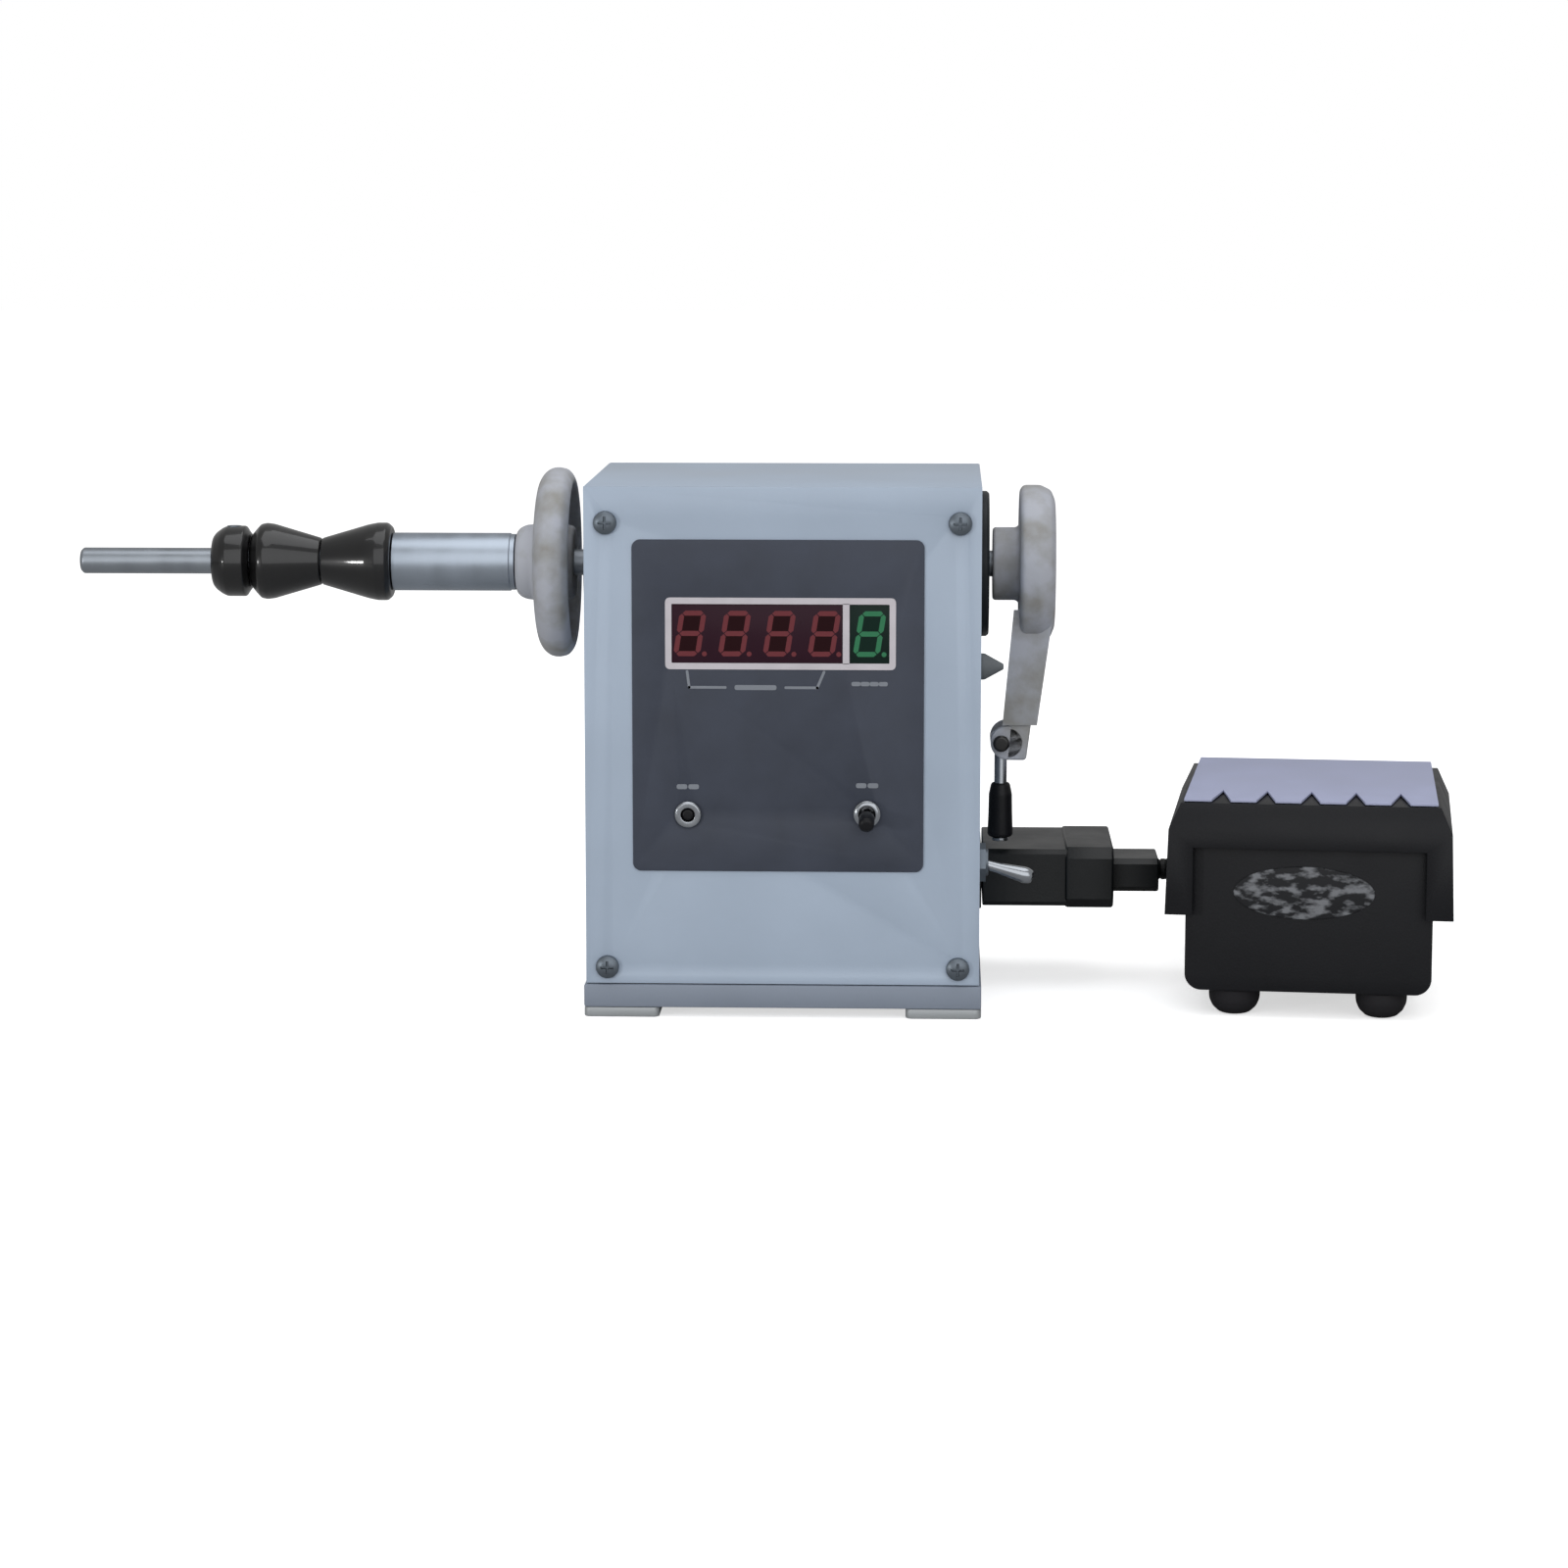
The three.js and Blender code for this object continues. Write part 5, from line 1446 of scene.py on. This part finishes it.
@dataclass
class PlugAndSocket:
    """The pedal's socket on the right-hand wall and the moulded plug in it."""

    nose: float = 10.3
    shell_to_boot: float = 55.3
    relief_radius: float = 3.4
    relief_bend: float = 8.0

    def build(self) -> None:
        """Builds the socket, the plug and its relief."""
        place(softened("pedal_socket", 0.35), "pedal_socket_body", ABS_BLACK, "root",
              ["pedal_socket"])
        self.body()
        self.relief()

    def chamfered(self, near: float, far: float, low: float, high: float, edge: float) -> list[Point]:
        """Outline of a block's section with cut corners."""
        return [(near + edge, low), (far - edge, low), (far, low + edge), (far, high - edge),
                (far - edge, high), (near + edge, high), (near, high - edge), (near, low + edge)]

    def body(self) -> None:
        """Builds the plug: nose, shell, hand hold with grip ribs, and boot."""
        low, high = box_mm("plug")
        left, front, rear = low.x + self.nose, low.y, high.y
        base, top = low.z, high.z
        nose = slab((low.x, front + 10.4, base + 4.7), (left + 1, rear - 10.4, base + 11.9), 0.5, 2)
        shell = pull(self.chamfered(front + 1, rear - 1, base + 0.6, top - 0.6, 1.4), 26.5, Axis.X,
                     (left, 0, 0), 0.5)
        hold = pull(self.chamfered(front, rear, base, top, 3.2), 15.0, Axis.X, (left + 25.7, 0, 0), 0.8)
        boot = pull(self.chamfered(front + 13, rear - 13, base + 3.2, top - 5.4, 1.6), 16.4, Axis.X,
                    (left + 38.9, 0, 0), 0.6)
        ribs = [slab((left + 28 + 3.2 * i, front + 3.4, top - 0.6),
                     (left + 29.4 + 3.2 * i, rear - 3.4, top - 0.02), 0.25, 2) for i in range(3)]
        place(join([nose, shell, hold, boot, *ribs]), "plug_body", PLUG_BLACK, "root",
              ["plug"])

    def relief(self) -> None:
        """Bends the ringed relief from the boot towards the rear."""
        low, high = box_mm("plug")
        bend = self.relief_bend
        x, y = low.x + self.nose + self.shell_to_boot, (low.y + high.y) / 2
        z = PedalLead.PLUG_SIDE[0][2]
        line = [Vector((x - 0.6, y, z))]
        steps = 36
        for step in range(steps + 1):
            turned = math.pi / 2 * step / steps
            line.append(Vector((x + bend * math.sin(turned), y + bend * (1 - math.cos(turned)), z)))
        line += [Vector((x + bend, y + bend + along, z))
                 for along in (1.0, 1.4, 2.0, 2.4, 3.0, 3.4, 4.0)]
        shape = bmesh.new()
        rings = []
        for index, point in enumerate(line):
            ahead = line[min(index + 1, len(line) - 1)] - line[max(index - 1, 0)]
            share = index / (len(line) - 1)
            radius = self.relief_radius - 0.45 * share - (0.35 if index % 6 in (3, 4) else 0.0)
            made = bmesh.ops.create_circle(shape, segments=24, radius=radius * MM)["verts"]
            turned = ahead.normalized().to_track_quat("Z", "X").to_matrix().to_4x4()
            bmesh.ops.transform(shape, matrix=Matrix.Translation(point * MM) @ turned, verts=made)
            rings.append(made)
        for first, second in zip(rings, rings[1:]):
            lines = [e for ring in (first, second) for v in ring for e in v.link_edges
                     if e.other_vert(v) in ring]
            bmesh.ops.bridge_loops(shape, edges=list(set(lines)))
        bmesh.ops.holes_fill(shape, edges=[e for e in shape.edges if e.is_boundary])
        bmesh.ops.recalc_face_normals(shape, faces=shape.faces)
        place(shape, "plug_relief", VINYL, "root", crease=50)


# ---- pedal ---------------------------------------------------------------------------------------


@dataclass
class FootPedal:
    """The foot pedal: tray, hinged lid with its tread plate, feet, pin, spring and strain relief."""

    foot_radius: float = 7.7
    gland_length: float = 25.7
    tray_front: Place = (162.0, -45.0, 38.5)

    def build(self) -> None:
        """Builds and dresses every piece of the pedal."""
        place(softened("pedal_tray", 1.1, 3), "pedal_tray_shell", ABS_BLACK, "root",
              ["pedal_tray"])
        place(softened("pedal_lid", 1.0, 3), "pedal_lid_shell", ABS_BLACK, "pedal_top",
              ["pedal_lid"])
        place(softened("pedal_tread", 0.25), "pedal_tread_plate", TREAD, "pedal_top",
              ["pedal_tread"])
        self.feet()
        self.gland()
        self.oval()
        dress("pedal_hinge_pin", BRIGHT_STEEL)
        dress("pedal_spring", CHROME)

    def across(self) -> Vector:
        """Direction from the pedal's left to its right, from its hinge."""
        return Vector(joint("pedal_press")["axis"])

    def ahead(self) -> Vector:
        """Level direction from the pedal's front to its rear."""
        side = self.across()
        return Vector((-side.y, side.x, 0))

    def stand(self, shape: bmesh.types.BMesh, point: Vector) -> None:
        """Turns a shape built along Y to the pedal's own direction and moves it to a point."""
        ahead = self.ahead()
        turned = Matrix.Rotation(math.atan2(-ahead.x, ahead.y), 4, "Z")
        shape.transform(Matrix.Translation(point * MM) @ turned)

    def feet(self) -> None:
        """Turns the four domed rubber feet."""
        radius = self.foot_radius
        outline = solid_profile([(0, 3.2), (0.5, 4.8), (2.2, 6.6), (4.2, 7.5), (5.6, radius),
                                 (8, radius)], 0.6)
        for number in range(1, 5):
            low, high = box_mm(f"pedal_foot_{number}")
            centre = ((low.x + high.x) / 2, (low.y + high.y) / 2, 0)
            place(turn(outline, Axis.Z, centre, 48), f"pedal_foot_dome_{number}", RUBBER, "root",
                  [f"pedal_foot_{number}"])

    def gland(self) -> None:
        """Turns the ringed strain relief that the lead leaves the tray by."""
        ahead, length = self.ahead(), self.gland_length
        outline = [(0.0, 5.3), (2.2, 5.3), (2.8, 4.7)]
        for ring in range(6):
            start = 4.0 + 3.5 * ring
            radius = 4.6 - 0.22 * ring
            outline += [(start, radius), (start + 1.9, radius - 0.08), (start + 2.1, radius - 0.7),
                        (start + 3.2, radius - 0.75)]
        outline.append((length, 3.15))
        shape = turn(solid_profile(outline, 0.2), Axis.Y, (0, 0, 0), 40)
        tip = Vector(PedalLead.PEDAL_SIDE[-1]) - ahead * 0.3
        self.stand(shape, tip - ahead * length)
        place(shape, "pedal_gland", RUBBER, "root", ["strain_relief"])

    def oval(self) -> None:
        """Adds the plain raised oval in the middle of the tray's front."""
        middle = Vector(self.tray_front) + self.ahead() * 3.4 - self.across() * 1.5
        shape = pull(circle(21.0, 8.0, 64), 0.8, Axis.FRONT, (0, 0.2, 0), 0.35)
        self.stand(shape, middle)
        place(shape, "pedal_front_oval", WORN_INK, "root")


# ---- inside --------------------------------------------------------------------------------------


def dress(node: str, finish: Finish) -> None:
    """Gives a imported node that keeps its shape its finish."""
    for slot in bpy.data.objects[node].material_slots:
        slot.material = finish.material()


@dataclass
class InnerDrive:
    """Everything inside the case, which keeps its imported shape."""

    FINISHES = {"spindle_pulley": ABS_BLACK, "motor_shaft": BRIGHT_STEEL, "drive_belt": RUBBER,
                "motor_can": ZINC, "motor_bracket": ZINC, "transformer": WINDING,
                "control_board": LAMINATE, "display_board": LAMINATE,
                "count_disc": ABS_BLACK, "count_sensor": ABS_BLACK,
                "red_digits": RED_LENS, "green_digit": GREEN_LENS}

    def build(self) -> None:
        """Dresses each inner node."""
        for node, finish in self.FINISHES.items():
            dress(node, finish)


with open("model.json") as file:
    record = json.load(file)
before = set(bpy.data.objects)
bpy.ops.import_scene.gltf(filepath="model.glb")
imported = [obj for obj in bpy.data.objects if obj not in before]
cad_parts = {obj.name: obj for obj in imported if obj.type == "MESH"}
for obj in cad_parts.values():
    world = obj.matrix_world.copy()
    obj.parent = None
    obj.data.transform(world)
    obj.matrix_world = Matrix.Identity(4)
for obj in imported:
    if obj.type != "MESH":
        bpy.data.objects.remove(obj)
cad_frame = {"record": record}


def main() -> None:
    """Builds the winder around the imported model."""
    logging.basicConfig(level=logging.INFO, format="%(message)s")
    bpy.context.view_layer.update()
    Studio().build()
    PlugAndSocket().build()
    FootPedal().build()
    PedalLead().build()
    SheetCase().build()
    DisplayPanel().build()
    Controls().build()
    ClampSpindle().build()
    CrankArm().build()
    InnerDrive().build()


if __name__ == "__main__":
    main()
